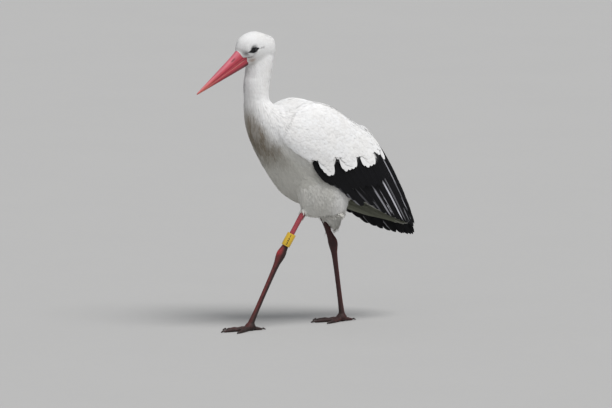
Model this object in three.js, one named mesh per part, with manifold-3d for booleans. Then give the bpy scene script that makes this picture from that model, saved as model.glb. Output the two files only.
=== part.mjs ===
// A white stork in mid stride, life size, as a still model in separate solids.
// Millimetres, +Z up. The bird faces -Y and its left side is +X. The origin is on the floor,
// under the middle of the bird's own box.
import * as THREE from "three";
import { mergeVertices } from "three/addons/utils/BufferGeometryUtils.js";
import Module from "manifold-3d";

const wasm = await Module();
wasm.setup();

// Driving dimensions.
const gap = 0.3; // clearance between two solids that meet
const billLength = 169; // corner of the mouth to the tip, along the mouth line
const shinLength = 198; // heel joint to the foot, the bare tarsus
const middleToe = 70; // longest toe, without its claw
const toePadRadius = 5.2;
const ring = { height: 35, innerRadius: 9.6, wall: 1.8, aboveHeel: 41 };

// Where the main joints are: forward, left and up from the point on the floor under the hips.
const headCentre = { forward: 131.5, left: 0, up: 731 };
const headTurn = { yaw: 7, pitch: 30.3 }; // degrees: towards the bird's left, and bill down
const legs = {
  left: { side: 1, knee: [-34, 65, 400], heel: [72, 32, 196], foot: [158, 25, 17] },
  right: { side: -1, knee: [-36, -65, 410], heel: [-113, -30, 209], foot: [-137, -25, 17] },
};

const plumage = new THREE.MeshStandardMaterial({ color: 0xe9e7e6, roughness: 0.9 });
const flightFeathers = new THREE.MeshStandardMaterial({ color: 0x121214, roughness: 0.55 });
const redHorn = new THREE.MeshStandardMaterial({ color: 0xb23a35, roughness: 0.5 });
const legSkin = new THREE.MeshStandardMaterial({ color: 0x6e2a27, roughness: 0.6 });
const clawHorn = new THREE.MeshStandardMaterial({ color: 0x2c2320, roughness: 0.5 });
const eyeball = new THREE.MeshStandardMaterial({ color: 0x14100f, roughness: 0.1 });
const yellowPlastic = new THREE.MeshStandardMaterial({ color: 0xd9b23a, roughness: 0.45 });

const stork = new THREE.Group();

const degrees = (value) => THREE.MathUtils.degToRad(value);
const bodyPoint = (forward, left, up) => new THREE.Vector3(left, -forward, up);
const leftWay = bodyPoint(0, 1, 0);

// The head has its own axes: along the mouth line to the bill's tip, to its left, and above that line.
const headMatrix = new THREE.Matrix4()
  .makeTranslation(bodyPoint(headCentre.forward, headCentre.left, headCentre.up))
  .multiply(new THREE.Matrix4().makeRotationZ(degrees(headTurn.yaw)))
  .multiply(new THREE.Matrix4().makeRotationX(degrees(headTurn.pitch)));
const headPoint = (along, left, above) => bodyPoint(along, left, above).applyMatrix4(headMatrix);

// A closed skin over a row of oval rings. Each ring has a centre and two half axes, deep and wide,
// and the rings between the given ones follow smooth curves. "squareness" above 1 fills the corners.
function loft(rings, { sides = 20, steps = 24, grow = 0, squareness = 1 } = {}) {
  const curveOf = (key) => new THREE.CatmullRomCurve3(rings.map((r) => r[key]), false, "catmullrom", 0.5);
  const centres = curveOf("centre");
  const deeps = curveOf("deep");
  const wides = curveOf("wide");
  const shape = new THREE.CylinderGeometry(1, 1, 1, sides, steps);
  const place = shape.getAttribute("position");
  for (let i = 0; i < place.count; i++) {
    const t = THREE.MathUtils.clamp(0.5 - place.getY(i), 0, 1);
    const centre = centres.getPoint(t);
    const deep = deeps.getPoint(t);
    const wide = wides.getPoint(t);
    deep.setLength(deep.length() + grow);
    wide.setLength(wide.length() + grow);
    const rim = Math.hypot(place.getX(i), place.getZ(i));
    const rounder = (v) => Math.sign(v) * Math.pow(Math.abs(v), 1 / squareness);
    centre.addScaledVector(deep, rim > 0.5 ? rounder(place.getZ(i)) : 0);
    centre.addScaledVector(wide, rim > 0.5 ? rounder(place.getX(i)) : 0);
    const end = t < 1e-6 ? -1 : t > 1 - 1e-6 ? 1 : 0;
    centre.addScaledVector(centres.getTangent(t), end * grow);
    place.setXYZ(i, centre.x, centre.y, centre.z);
  }
  return solidOf(shape);
}

// A ring between a dorsal and a ventral point of a mirror-even body part.
function spanRing([backForward, backUp, frontForward, frontUp, halfWidth], point = bodyPoint, left = 0) {
  const back = point(backForward, left, backUp);
  const front = point(frontForward, left, frontUp);
  const wide = point(0, 1, 0).sub(point(0, 0, 0)).setLength(halfWidth);
  return { centre: back.clone().lerp(front, 0.5), deep: back.sub(front).multiplyScalar(0.5), wide };
}

// Rings square to a limb's own path, from [x, y, z point, half depth, half width] rows.
function limbRings(rows) {
  return rows.map(([at, halfDepth, halfWidth], i) => {
    const before = rows[Math.max(i - 1, 0)][0];
    const after = rows[Math.min(i + 1, rows.length - 1)][0];
    const along = after.clone().sub(before).normalize();
    const deep = new THREE.Vector3().crossVectors(along, leftWay).setLength(halfDepth);
    const wide = new THREE.Vector3().crossVectors(deep, along).setLength(halfWidth);
    return { centre: at.clone(), deep, wide };
  });
}

function solidOf(geometry) {
  const bare = geometry.clone();
  bare.deleteAttribute("normal");
  bare.deleteAttribute("uv");
  const merged = mergeVertices(bare, 1e-3);
  const vertProperties = Float32Array.from(merged.getAttribute("position").array);
  const triVerts = Uint32Array.from(merged.index.array);
  const made = new wasm.Manifold(new wasm.Mesh({ numProp: 3, vertProperties, triVerts }));
  if (made.volume() > 0) return made;
  for (let i = 0; i < triVerts.length; i += 3) {
    [triVerts[i + 1], triVerts[i + 2]] = [triVerts[i + 2], triVerts[i + 1]];
  }
  return new wasm.Manifold(new wasm.Mesh({ numProp: 3, vertProperties, triVerts }));
}

// Adds a solid to the bird as a named mesh. A cut can leave slivers, so the largest body is kept.
function addPiece(name, solid, material) {
  const bodies = solid.decompose().sort((a, b) => b.volume() - a.volume());
  const { numProp, numVert, vertProperties, triVerts } = bodies[0].getMesh();
  const position = new Float32Array(numVert * 3);
  for (let i = 0; i < numVert; i++) position.set(vertProperties.subarray(i * numProp, i * numProp + 3), i * 3);
  const geometry = new THREE.BufferGeometry();
  geometry.setAttribute("position", new THREE.BufferAttribute(position, 3));
  geometry.setIndex(new THREE.BufferAttribute(Uint32Array.from(triVerts), 1));
  geometry.computeVertexNormals();
  const mesh = new THREE.Mesh(geometry, material);
  mesh.name = name;
  stork.add(mesh);
}

const boxBetween = (low, high) => {
  const size = high.clone().sub(low);
  const shape = new THREE.BoxGeometry(size.x, size.y, size.z);
  return solidOf(shape.translate(...low.clone().lerp(high, 0.5).toArray()));
};

// Trunk: back point, belly point and half width, from the base of the neck to the root of the tail.
const trunkRows = [
  [97, 600, 160, 607, 36],
  [74, 578, 157, 565, 50],
  [36, 583, 146, 512, 71],
  [-4, 589, 119, 452, 87],
  [-44, 577, 83, 393, 93],
  [-84, 543, 40, 338, 90],
  [-120, 502, -20, 312, 80],
  [-152, 469, -86, 308, 62],
  [-180, 425, -138, 318, 42],
  [-198, 396, -176, 344, 24],
];
const trunkRings = trunkRows.map((row) => spanRing(row));
const makeTrunk = (grow) => loft(trunkRings, { sides: 20, steps: 15, grow });

// Neck: nape point, throat point and half width, from the trunk up into the head.
const neckRows = [
  [97, 600, 160, 607, 36],
  [94, 634, 162, 634, 35],
  [87, 660, 160, 662, 33],
  [80.5, 684, 156, 688, 31],
  [79, 708, 146, 716, 28],
];
const neckMiddle = 0.52; // where the neck is parted, as a share of its length
function makeNeck(from, to, grow = 0) {
  const all = new THREE.CatmullRomCurve3(neckRows.map(([a, b, c]) => new THREE.Vector3(a, b, c)));
  const rest = new THREE.CatmullRomCurve3(neckRows.map(([, , , d, w]) => new THREE.Vector3(d, w, 0)));
  const rows = [0, 0.25, 0.5, 0.75, 1].map((share) => {
    const t = THREE.MathUtils.lerp(from, to, share);
    const first = all.getPoint(t);
    const second = rest.getPoint(t);
    return [first.x, first.y, first.z, second.x, second.y];
  });
  return loft(rows.map((row) => spanRing(row)), { sides: 14, steps: 4, grow });
}

// Head, in its own axes: crown point, throat point and half width, from the nape to the face.
const headRows = [
  [-54, 1, -53, -18, 15],
  [-39.5, 17.5, -44, -38, 24],
  [-25, 35, -31, -50, 30.5],
  [-4, 46.5, -11, -48, 33],
  [16, 49.5, 14, -40, 32],
  [33, 46, 33, -31, 26],
  [45, 37.5, 44, -24, 19.5],
  [54, 29, 52.5, -17.5, 14.5],
];
const headRings = headRows.map((row) => spanRing(row, headPoint));
const makeHead = (grow) => loft(headRings, { sides: 16, steps: 10, grow });

// Each half of the bill tapers from the face to the tip. Its flat side is the mouth line.
const mouthCorner = 43;
const mouthLine = -2; // height of the mouth line in the head's axes
function makeBillHalf(way) {
  const root = way > 0 ? 26.5 : 21; // depth of this half where it leaves the face
  const rows = [-0.12, 0, 0.12, 0.3, 0.55, 0.8, 0.94, 1].map((share) => {
    const along = mouthCorner + share * billLength;
    const taper = Math.max(1 - share, 0);
    const browRise = way > 0 ? 3 * Math.pow(Math.max(1 - share / 0.25, 0), 1.5) : 0; // the ridge lifts towards the brow
    const depth = way * (root * Math.min(taper, 1) + 1.2 + Math.min(browRise, 3));
    const halfWidth = 13.5 * Math.pow(Math.min(taper, 1), 0.8) + 1;
    return [along, mouthLine + depth, along, mouthLine - depth, halfWidth];
  });
  const whole = loft(rows.map((row) => spanRing(row, headPoint)), { sides: 12, steps: 11 });
  const other = boxBetween(new THREE.Vector3(-60, -400, 0), new THREE.Vector3(60, 200, way * -200))
    .translate([0, 0, mouthLine + way * gap * 0.5])
    .transform(headMatrix.toArray());
  return whole.subtract(other);
}

// Folded wing: a curved shell over the flank. Each row has the upper edge, near the middle of the back,
// and the lower edge, both as forward, left and up, then the shell's thickness.
const wingRows = [
  [[94, 56, 545], [97, 76, 500], 8],
  [[62, 52, 565], [52, 94, 456], 14],
  [[0, 42, 588], [-12, 102, 421], 18],
  [[-66, 30, 572], [-78, 95, 378], 16],
  [[-130, 19, 534], [-140, 80, 330], 12],
  [[-190, 11, 497], [-200, 64, 300], 9],
  [[-238, 9, 436], [-250, 51, 277], 7],
  [[-272, 9, 367], [-290, 38, 260], 6],
  [[-306, 11, 301], [-320, 28, 249], 5],
  [[-325, 14, 262], [-329, 22, 245], 4],
];
const wingSides = 14;
const feathersOnEdge = 11; // feather tips that step along the rear half of the lower edge
const tipStep = 5; // how far each tip stands out

// Each side's wing hangs a little differently: the far one rests lower, and its tip reaches further back
// and nearer to the middle, under the near one's tip.
const wingDroop = { left: 0, right: 39 };
const tipReach = { left: 0, right: 14 };
const tipInward = { left: 0, right: 12 };

function wingEdges(t, side, droop) {
  const name = side > 0 ? "left" : "right";
  const curve = (pick) => new THREE.CatmullRomCurve3(wingRows.map(pick), false, "catmullrom", 0.5);
  const sink = droop * THREE.MathUtils.smoothstep(t, 0.25, 0.65) * (1 - 0.3 * THREE.MathUtils.smoothstep(t, 0.75, 1));
  const upper = curve(([top]) => bodyPoint(top[0], side * top[1], top[2])).getPoint(t);
  const lower = curve(([, low]) => bodyPoint(low[0], side * low[1], low[2])).getPoint(t);
  upper.z -= sink * THREE.MathUtils.smoothstep(t, 0.55, 1) * 0.9;
  lower.z -= sink;
  const late = THREE.MathUtils.smoothstep(t, 0.5, 1);
  for (const edge of [upper, lower]) {
    edge.x -= side * tipInward[name] * late;
    edge.y += tipReach[name] * late;
  }
  const scallop = Math.abs(Math.sin(Math.PI * feathersOnEdge * t)) * THREE.MathUtils.smoothstep(t, 0.3, 0.5);
  lower.addScaledVector(lower.clone().sub(upper).normalize(), -tipStep * (1 - scallop) * (t > 0.3 ? 1 : 0));
  const thickness = curve(([, , thick]) => new THREE.Vector3(thick, 0, 0)).getPoint(t).x;
  return { upper, lower, thickness };
}

function makeWing(side, droop, grow = 0) {
  const steps = 22;
  const shape = new THREE.CylinderGeometry(1, 1, 1, wingSides, steps);
  const place = shape.getAttribute("position");
  const edges = Array.from({ length: steps + 1 }, (_, k) => wingEdges(k / steps, side, droop));
  for (let i = 0; i < place.count; i++) {
    const row = THREE.MathUtils.clamp(Math.round((0.5 - place.getY(i)) * steps), 0, steps);
    const { upper, lower, thickness } = edges[row];
    const turn = (Math.atan2(place.getX(i), place.getZ(i)) / (2 * Math.PI) + 1) % 1;
    const isRim = Math.hypot(place.getX(i), place.getZ(i)) > 0.5;
    const outside = turn < 0.5;
    const share = isRim ? (outside ? turn * 2 : (1 - turn) * 2) : 0.5;
    const quarter = share * Math.PI * 0.5;
    const out = Math.pow(Math.sin(quarter), 0.85);
    const down = 1 - Math.pow(Math.cos(quarter), 0.85);
    const at = new THREE.Vector3(
      THREE.MathUtils.lerp(upper.x, lower.x, out),
      THREE.MathUtils.lerp(upper.y, lower.y, down),
      THREE.MathUtils.lerp(upper.z, lower.z, down),
    );
    const full = Math.sqrt(Math.max(Math.sin(Math.PI * share), 0));
    const onEdge = isRim && (share < 1e-6 || share > 1 - 1e-6);
    const half = (1.1 + (thickness * 0.5 - 1.1) * full + grow) * (isRim && !onEdge ? (outside ? 1 : -1) : 0);
    const normal = new THREE.Vector3(side * Math.sin(quarter), 0, Math.cos(quarter));
    at.addScaledVector(normal, half);
    const end = row === 0 ? 1 : row === steps ? -1 : 0;
    at.addScaledVector(bodyPoint(1, 0, 0.6), end * grow);
    if (onEdge) at.z += (share < 0.5 ? 1 : -1) * (1.1 + grow * 2);
    place.setXYZ(i, at.x, at.y, at.z);
  }
  return solidOf(shape);
}

// The white coverts end in long lobes over the black feathers: forward, up and half width of each lobe's tip.
const covertLobes = [
  [-26, 402, 30],
  [-109, 411, 31],
  [-183, 410, 30],
];
const lobeRoot = 440;
function covertRegion(side, sink) {
  const outline = new THREE.Shape();
  outline.moveTo(160, 700);
  outline.lineTo(160, 420);
  covertLobes.forEach(([forward, up, half]) => {
    outline.lineTo(forward + half, lobeRoot);
    outline.quadraticCurveTo(forward + half * 0.7, up, forward, up);
    outline.quadraticCurveTo(forward - half * 0.7, up + 4, forward - half, lobeRoot);
  });
  outline.lineTo(-226, 444);
  outline.lineTo(-240, 426);
  outline.lineTo(-262, 700);
  const slab = new THREE.ExtrudeGeometry(outline, { depth: 160, bevelEnabled: false, curveSegments: 5 });
  // The shape's own x is forward and its y is up, so it turns to stand along the flank.
  slab.applyMatrix4(new THREE.Matrix4().set(0, 0, 1, side > 0 ? -20 : -140, -1, 0, 0, 0, 0, 1, 0, -sink, 0, 0, 0, 1));
  return solidOf(slab);
}

// Tail: a wedge of feathers between the wings, deep where the coverts lie under its root and flat at the tips.
// Rows are upper point, lower point and half width.
const tailRows = [
  [-172, 404, -138, 318, 26],
  [-204, 370, -176, 306, 35],
  [-238, 335, -214, 290, 39],
  [-270, 302, -254, 273, 34],
  [-298, 274, -290, 258, 25],
  [-317, 254, -312, 247, 15],
];
function makeTail(grow = 0) {
  return loft(tailRows.map((row) => spanRing(row)), { sides: 14, steps: 8, grow });
}

// Feathered thighs: front point, back point and half width, from the flank to the end of the feathers.
const thighRows = {
  left: [
    [38, 420, -100, 420, 26, 60],
    [42, 380, -112, 370, 33, 56],
    [36, 344, -118, 335, 32, 52],
    [27, 318, -112, 306, 26, 49],
    [21, 303, -94, 289, 17, 46],
    [15, 293, -22, 286, 10, 44],
  ],
  right: [
    [18, 430, -110, 420, 26, -60],
    [16, 386, -128, 362, 34, -54],
    [0, 348, -140, 326, 33, -46],
    [-28, 322, -144, 290, 27, -39],
    [-56, 302, -138, 258, 18, -34],
    [-78, 291, -118, 238, 9, -31],
  ],
};
const makeThigh = (name, grow = 0) =>
  loft(thighRows[name].map((row) => spanRing(row, bodyPoint, row[5])), { sides: 12, steps: 7, grow });

// Legs: a bare shank above the heel joint, then the long tarsus, the foot and its toes.
const toes = [
  { name: "inner", turn: -34, length: 0.78, radius: 0.95 },
  { name: "middle", turn: 0, length: 1, radius: 1 },
  { name: "outer", turn: 33, length: 0.84, radius: 0.95 },
  { name: "hind", turn: 172, length: 0.36, radius: 0.88 },
];
const clawLength = 10;
const toeStart = 8; // where the toes leave the middle of the foot
const floorBlock = boxBetween(new THREE.Vector3(-600, -600, -200), new THREE.Vector3(600, 600, 0));

function makeShank(leg, grow = 0) {
  const knee = bodyPoint(...leg.knee);
  const heel = bodyPoint(...leg.heel);
  const up = knee.clone().sub(heel).normalize();
  const at = (height) => heel.clone().addScaledVector(up, height);
  const rows = [
    [at(150), 8.2, 7.6],
    [at(118), 7, 6.4],
    [at(80), 6.3, 5.8],
    [at(45), 6.4, 6],
    [at(24), 7.9, 7.2],
    [at(9), 11.2, 9.4],
  ];
  return loft(limbRings(rows), { sides: 10, steps: 5, grow });
}

function makeTarsus(leg, grow = 0) {
  const heel = bodyPoint(...leg.heel);
  const foot = bodyPoint(...leg.foot);
  const knee = bodyPoint(...leg.knee);
  const down = foot.clone().sub(heel).normalize();
  const above = knee.clone().sub(heel).normalize();
  const at = (share) => heel.clone().addScaledVector(down, share * shinLength);
  const rows = [
    [heel.clone().addScaledVector(above, 13), 9.5, 8.2],
    [heel.clone().addScaledVector(above, 6), 12, 9.8],
    [at(0.02), 12.6, 10.2],
    [at(0.08), 10.6, 9],
    [at(0.15), 7.8, 7],
    [at(0.3), 6.5, 5.9],
    [at(0.6), 6, 5.6],
    [at(0.85), 6.2, 6.4],
    [at(0.95), 7.4, 8.4],
    [at(1), 7.6, 8.6],
  ];
  return loft(limbRings(rows), { sides: 10, steps: 12, grow });
}

function makeFootPad(leg, grow = 0) {
  const foot = bodyPoint(...leg.foot);
  const pad = new THREE.SphereGeometry(1, 10, 6);
  pad.scale(12.5 + grow, 14 + grow, 11.5 + grow);
  pad.translate(foot.x, foot.y - 1, 10.3);
  return solidOf(pad);
}

// A toe leaves the pad, comes down to the floor and swells at each of its joints.
function toePath(leg, toe) {
  const heading = degrees(toe.turn * leg.side + (leg.side > 0 ? 3 : -4));
  const way = bodyPoint(Math.cos(heading), Math.sin(heading), 0);
  const start = bodyPoint(leg.foot[0], leg.foot[1], 0);
  return (reach, up) => start.clone().addScaledVector(way, reach).add(new THREE.Vector3(0, 0, up));
}

function makeToe(leg, toe, grow = 0) {
  const at = toePath(leg, toe);
  const reach = middleToe * toe.length + toeStart;
  const radius = toePadRadius * toe.radius;
  const joints = Math.max(2, Math.round(toe.length * 4));
  const count = joints * 2;
  const rows = Array.from({ length: count + 1 }, (_, k) => {
    const share = k / count;
    const swell = 1 + 0.1 * Math.cos(2 * Math.PI * joints * share);
    const size = radius * swell * (1.08 - 0.3 * share) * (share > 0.98 ? 0.72 : 1);
    const lift = size * 0.9 + 4.5 * Math.pow(1 - share, 4);
    return [at(2 + share * (reach - 2), lift), size, size * 1.08];
  });
  return loft(limbRings(rows), { sides: 8, steps: count, grow });
}

function makeClaw(leg, toe) {
  const at = toePath(leg, toe);
  const reach = middleToe * toe.length + toeStart + gap * 3;
  const length = clawLength * (0.75 + 0.25 * toe.length);
  const radius = toePadRadius * toe.radius;
  const rows = [0, 0.25, 0.5, 0.75, 1].map((share) => {
    const size = radius * (0.6 - 0.48 * share * share);
    return [at(reach + share * length, size + 1.5 - 1.2 * share), size * 0.8, size * 1.15];
  });
  return loft(limbRings(rows), { sides: 6, steps: 3 });
}

// The leg ring is a short open tube that has slid down to the swelling above the heel joint.
function makeRing(leg) {
  const { height, innerRadius, wall, aboveHeel } = ring;
  const outer = innerRadius + wall;
  const edge = wall * 0.3;
  const profile = [
    [innerRadius, edge],
    [innerRadius + edge, 0],
    [outer - edge, 0],
    [outer, edge],
    [outer, height - edge],
    [outer - edge, height],
    [innerRadius + edge, height],
    [innerRadius, height - edge],
    [innerRadius, edge],
  ].map(([x, y]) => new THREE.Vector2(x, y));
  const tube = new THREE.LatheGeometry(profile, 18);
  const heel = bodyPoint(...leg.heel);
  const up = bodyPoint(...leg.knee).sub(heel).normalize();
  const turn = new THREE.Quaternion().setFromUnitVectors(new THREE.Vector3(0, 1, 0), up);
  tube.applyQuaternion(turn);
  const start = heel.clone().addScaledVector(up, aboveHeel - height * 0.5);
  return solidOf(tube.translate(start.x, start.y, start.z));
}

// Eyes sit in the sides of the head, a little above and behind the corner of the mouth.
const eyeRadius = 8.2;
function makeEye(side, grow = 0) {
  const at = headPoint(19, side * 27.5, 13);
  const ball = new THREE.SphereGeometry(eyeRadius + grow, 12, 7);
  return solidOf(ball.translate(at.x, at.y, at.z));
}

const trunkRoom = makeTrunk(gap);
const headRoom = makeHead(gap);
const tailRoom = makeTail(gap);
const sides = { left: 1, right: -1 };

addPiece("trunk", makeTrunk(0), plumage);
addPiece("head", makeHead(0).subtract(makeEye(1, gap)).subtract(makeEye(-1, gap)), plumage);
addPiece("eye_left", makeEye(1), eyeball);
addPiece("eye_right", makeEye(-1), eyeball);
addPiece("bill_upper", makeBillHalf(1).subtract(headRoom), redHorn);
addPiece("bill_lower", makeBillHalf(-1).subtract(headRoom).subtract(makeNeck(neckMiddle, 1, gap)), redHorn);
addPiece("neck_lower", makeNeck(0.02, neckMiddle).subtract(trunkRoom), plumage);
addPiece("neck_upper", makeNeck(neckMiddle + 0.004, 1).subtract(headRoom), plumage);

for (const [name, side] of Object.entries(sides)) {
  const droop = wingDroop[name];
  const shell = makeWing(side, droop).subtract(trunkRoom);
  addPiece(`wing_${name}`, shell.intersect(covertRegion(side, 0)), plumage);
  addPiece(`flight_${name}`, shell.subtract(covertRegion(side, gap)), flightFeathers);
}
const wingRooms = Object.entries(sides).map(([name, side]) => makeWing(side, wingDroop[name], gap * 3));
const wingRoom = wingRooms[0].add(wingRooms[1]);
addPiece("tail", makeTail().subtract(trunkRoom).subtract(wingRoom), plumage);

for (const [name, leg] of Object.entries(legs)) {
  const thighRoom = makeThigh(name, gap);
  const tarsusRoom = makeTarsus(leg, gap);
  const padRoom = makeFootPad(leg, gap);
  const thigh = makeThigh(name).subtract(trunkRoom).subtract(wingRoom).subtract(tailRoom);
  addPiece(`thigh_${name}`, thigh, plumage);
  addPiece(`shank_${name}`, makeShank(leg).subtract(thighRoom).subtract(tarsusRoom), legSkin);
  addPiece(`tarsus_${name}`, makeTarsus(leg).subtract(padRoom), legSkin);
  addPiece(`foot_${name}`, makeFootPad(leg).subtract(floorBlock), legSkin);
  let taken = padRoom;
  for (const toe of toes) {
    const piece = makeToe(leg, toe).subtract(floorBlock).subtract(taken);
    addPiece(`toe_${name}_${toe.name}`, piece, legSkin);
    addPiece(`claw_${name}_${toe.name}`, makeClaw(leg, toe), clawHorn);
    taken = taken.add(makeToe(leg, toe, gap));
  }
}
addPiece("leg_ring", makeRing(legs.left), yellowPlastic);

// The frame's origin is the middle of the bird's own box, at floor level.
const box = new THREE.Box3().setFromObject(stork);
stork.position.set(-(box.min.x + box.max.x) / 2, -(box.min.y + box.max.y) / 2, -box.min.z);

export default stork;
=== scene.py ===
import math

import bmesh
import bpy
import numpy as np
from mathutils import Matrix, Vector, noise
from mathutils.bvhtree import BVHTree


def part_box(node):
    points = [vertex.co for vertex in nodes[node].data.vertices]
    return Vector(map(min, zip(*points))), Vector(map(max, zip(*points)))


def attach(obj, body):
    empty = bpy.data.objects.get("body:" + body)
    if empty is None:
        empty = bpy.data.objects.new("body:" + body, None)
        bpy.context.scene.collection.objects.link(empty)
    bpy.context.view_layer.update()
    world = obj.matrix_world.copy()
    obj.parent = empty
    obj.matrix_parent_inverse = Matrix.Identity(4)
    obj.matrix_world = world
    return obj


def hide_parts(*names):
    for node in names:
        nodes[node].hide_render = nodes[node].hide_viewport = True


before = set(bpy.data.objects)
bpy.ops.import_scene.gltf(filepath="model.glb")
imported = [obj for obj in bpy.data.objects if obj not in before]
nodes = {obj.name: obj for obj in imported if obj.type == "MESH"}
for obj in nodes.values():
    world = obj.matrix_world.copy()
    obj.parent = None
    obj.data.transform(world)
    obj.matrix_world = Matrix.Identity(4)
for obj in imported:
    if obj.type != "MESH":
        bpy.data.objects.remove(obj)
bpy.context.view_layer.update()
sides = {"left": 1, "right": -1}
toeNames = ["inner", "middle", "outer", "hind"]
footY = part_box("foot_left")[1].y + 0.145  # where the floor under the hips lies along Y
merge = 1e-6  # points closer than this are one


# A place on the bird: forward, left and up, in millimetres, from the floor under the hips.
def spot(forward, left, up):
    return Vector((left / 1000, footY - forward / 1000, up / 1000))


# The other way: forward, left and up on the bird, for many points.
def bodyParts(points):
    return (footY - points[:, 1]) * 1000, points[:, 0] * 1000, points[:, 2] * 1000


headFrame = (
    Matrix.Translation(spot(131.5, 0, 731))
    @ Matrix.Rotation(math.radians(7), 4, "Z")
    @ Matrix.Rotation(math.radians(30.3), 4, "X")
)


# A place on the head: along the mouth line to the bill's tip, left of it and above it, in millimetres.
def headSpot(along, left, above):
    return headFrame @ Vector((left / 1000, -along / 1000, above / 1000))


# The other way: along, left and above on the head, for many points.
def headParts(points):
    turned = np.array(headFrame.inverted())
    local = (points @ turned[:3, :3].T + turned[:3, 3]) * 1000
    return -local[:, 1], local[:, 0], local[:, 2]


def smooth(value, low, high):
    share = np.clip((value - low) / (high - low), 0, 1)
    return share * share * (3 - 2 * share)


def unit(vectors):
    return vectors / np.maximum(np.linalg.norm(vectors, axis=-1, keepdims=True), 1e-9)


# Materials: helpers and the effects that several of them share
def feed(tree, node, values):
    for socket, value in values.items():
        if isinstance(value, bpy.types.NodeSocket):
            tree.links.new(value, node.inputs[socket])
        else:
            node.inputs[socket].default_value = value
    return node


def nodeOf(tree, kind, values=None, **settings):
    made = tree.nodes.new("ShaderNode" + kind)
    for key, value in settings.items():
        setattr(made, key, value)
    return feed(tree, made, values or {})


def maths(tree, operation, *values):
    return nodeOf(tree, "Math", dict(enumerate(values)), operation=operation).outputs[0]


def scaled(tree, colour, factor):
    return nodeOf(tree, "VectorMath", {0: colour, 3: factor}, operation="SCALE").outputs[0]


def ranged(tree, value, start=(0.0, 1.0), end=(0.0, 1.0), kind="LINEAR"):
    (low, high), (first, last) = start, end
    limits = {"Value": value, "From Min": low, "From Max": high, "To Min": first, "To Max": last}
    return nodeOf(tree, "MapRange", limits, interpolation_type=kind).outputs[0]


def blended(tree, share, first, second):
    return nodeOf(tree, "Mix", {0: share, 6: first, 7: second}, data_type="RGBA").outputs[2]


def readLayer(tree, name):
    return nodeOf(tree, "Attribute", attribute_name=name).outputs["Fac"]


def tintOf(tree):
    return nodeOf(tree, "Attribute", attribute_name="tint").outputs["Color"]


def noiseOf(tree, where, scale, detail, **more):
    return nodeOf(tree, "TexNoise", {"Vector": where, "Scale": scale, "Detail": detail, **more}).outputs


def placeIn(tree):
    return nodeOf(tree, "TexCoord").outputs["Object"]


def vaneMap(tree):
    return nodeOf(tree, "UVMap", uv_map="vane").outputs[0]


def newGroup(name, inputs, outputs):
    tree = bpy.data.node_groups.new(name, "ShaderNodeTree")
    for label, value in inputs.items():
        kind = "NodeSocketColor" if value is None else "NodeSocketFloat"
        socket = tree.interface.new_socket(name=label, in_out="INPUT", socket_type=kind)
        if value is not None:
            socket.default_value = value
    for label in outputs:
        kind = "NodeSocketColor" if label == "Color" else "NodeSocketFloat"
        tree.interface.new_socket(name=label, in_out="OUTPUT", socket_type=kind)
    return tree, tree.nodes.new("NodeGroupInput").outputs, tree.nodes.new("NodeGroupOutput")


# Mottled colour: cloudy and fine noise lighten and darken a colour a little.
def makeMottleGroup():
    inputs = {"Color": None, "Cloud Scale": 30.0, "Fine Scale": 400.0, "Amount": 0.1}
    tree, given, result = newGroup("mottle", inputs, ["Color", "Fine"])
    where = placeIn(tree)
    cloud = noiseOf(tree, where, given["Cloud Scale"], 3.0)["Fac"]
    fine = noiseOf(tree, where, given["Fine Scale"], 2.0)["Fac"]
    centred = maths(tree, "SUBTRACT", maths(tree, "ADD", cloud, fine), 1.0)
    factor = maths(tree, "ADD", maths(tree, "MULTIPLY", centred, given["Amount"]), 1.0)
    feed(tree, result, {"Color": scaled(tree, given["Color"], factor), "Fine": fine})
    return tree


# Feather structure on the vane's own map: barbs that slant from the shaft to the edges.
def makeBarbGroup():
    tree, given, result = newGroup("barbs", {"Density": 60.0, "Slant": 0.8}, ["Height", "Across", "Along"])
    parts = nodeOf(tree, "SeparateXYZ", {0: vaneMap(tree)}).outputs
    across = maths(tree, "MULTIPLY_ADD", parts["X"], 2.0, -1.0)
    slanted = maths(tree, "MULTIPLY", maths(tree, "ABSOLUTE", across), given["Slant"])
    line = maths(tree, "ADD", parts["Y"], maths(tree, "MULTIPLY", slanted, -0.1))
    wave = maths(tree, "SINE", maths(tree, "MULTIPLY", line, given["Density"]))
    feed(tree, result, {"Height": wave, "Across": across, "Along": parts["Y"]})
    return tree


# Small plates of skin with creases between them, for legs, feet and bare faces.
def makeScaleGroup():
    tree, given, result = newGroup("scales", {"Size": 320.0}, ["Height", "Crease"])
    where = placeIn(tree)
    wobble = noiseOf(tree, where, 90.0, 2.0)["Color"]
    bent = nodeOf(
        tree, "VectorMath", {0: wobble, 1: (0.0025, 0.0025, 0.0025), 2: where}, operation="MULTIPLY_ADD"
    )
    cells = nodeOf(
        tree, "TexVoronoi", {"Vector": bent.outputs[0], "Scale": given["Size"]}, feature="DISTANCE_TO_EDGE"
    )
    plate = ranged(tree, cells.outputs["Distance"], (0.0, 0.16), kind="SMOOTHSTEP")
    feed(tree, result, {"Height": plate, "Crease": maths(tree, "SUBTRACT", 1.0, plate)})
    return tree


groups = {"mottle": makeMottleGroup(), "barbs": makeBarbGroup(), "scales": makeScaleGroup()}


materials = {}


def newMaterial(name, constants):
    material = bpy.data.materials.new(name)
    material.use_nodes = True
    materials[name], tree = material, material.node_tree
    return tree, feed(tree, tree.nodes["Principled BSDF"], constants)


def placeGroup(tree, name, values):
    return nodeOf(tree, "Group", values, node_tree=groups[name]).outputs


def mottled(tree, colour, cloud, fine, amount):
    values = {"Color": colour, "Cloud Scale": cloud, "Fine Scale": fine, "Amount": amount}
    return placeGroup(tree, "mottle", values)


# Joins the colour, the roughness and a bump to the shader.
def finishShader(tree, shader, colour, roughness, height, strength, distance):
    bump = nodeOf(tree, "Bump", {"Strength": strength, "Distance": distance, "Height": height})
    feed(tree, shader, {"Base Color": colour, "Normal": bump.outputs["Normal"]})
    if roughness is not None:
        feed(tree, shader, {"Roughness": roughness})


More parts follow.
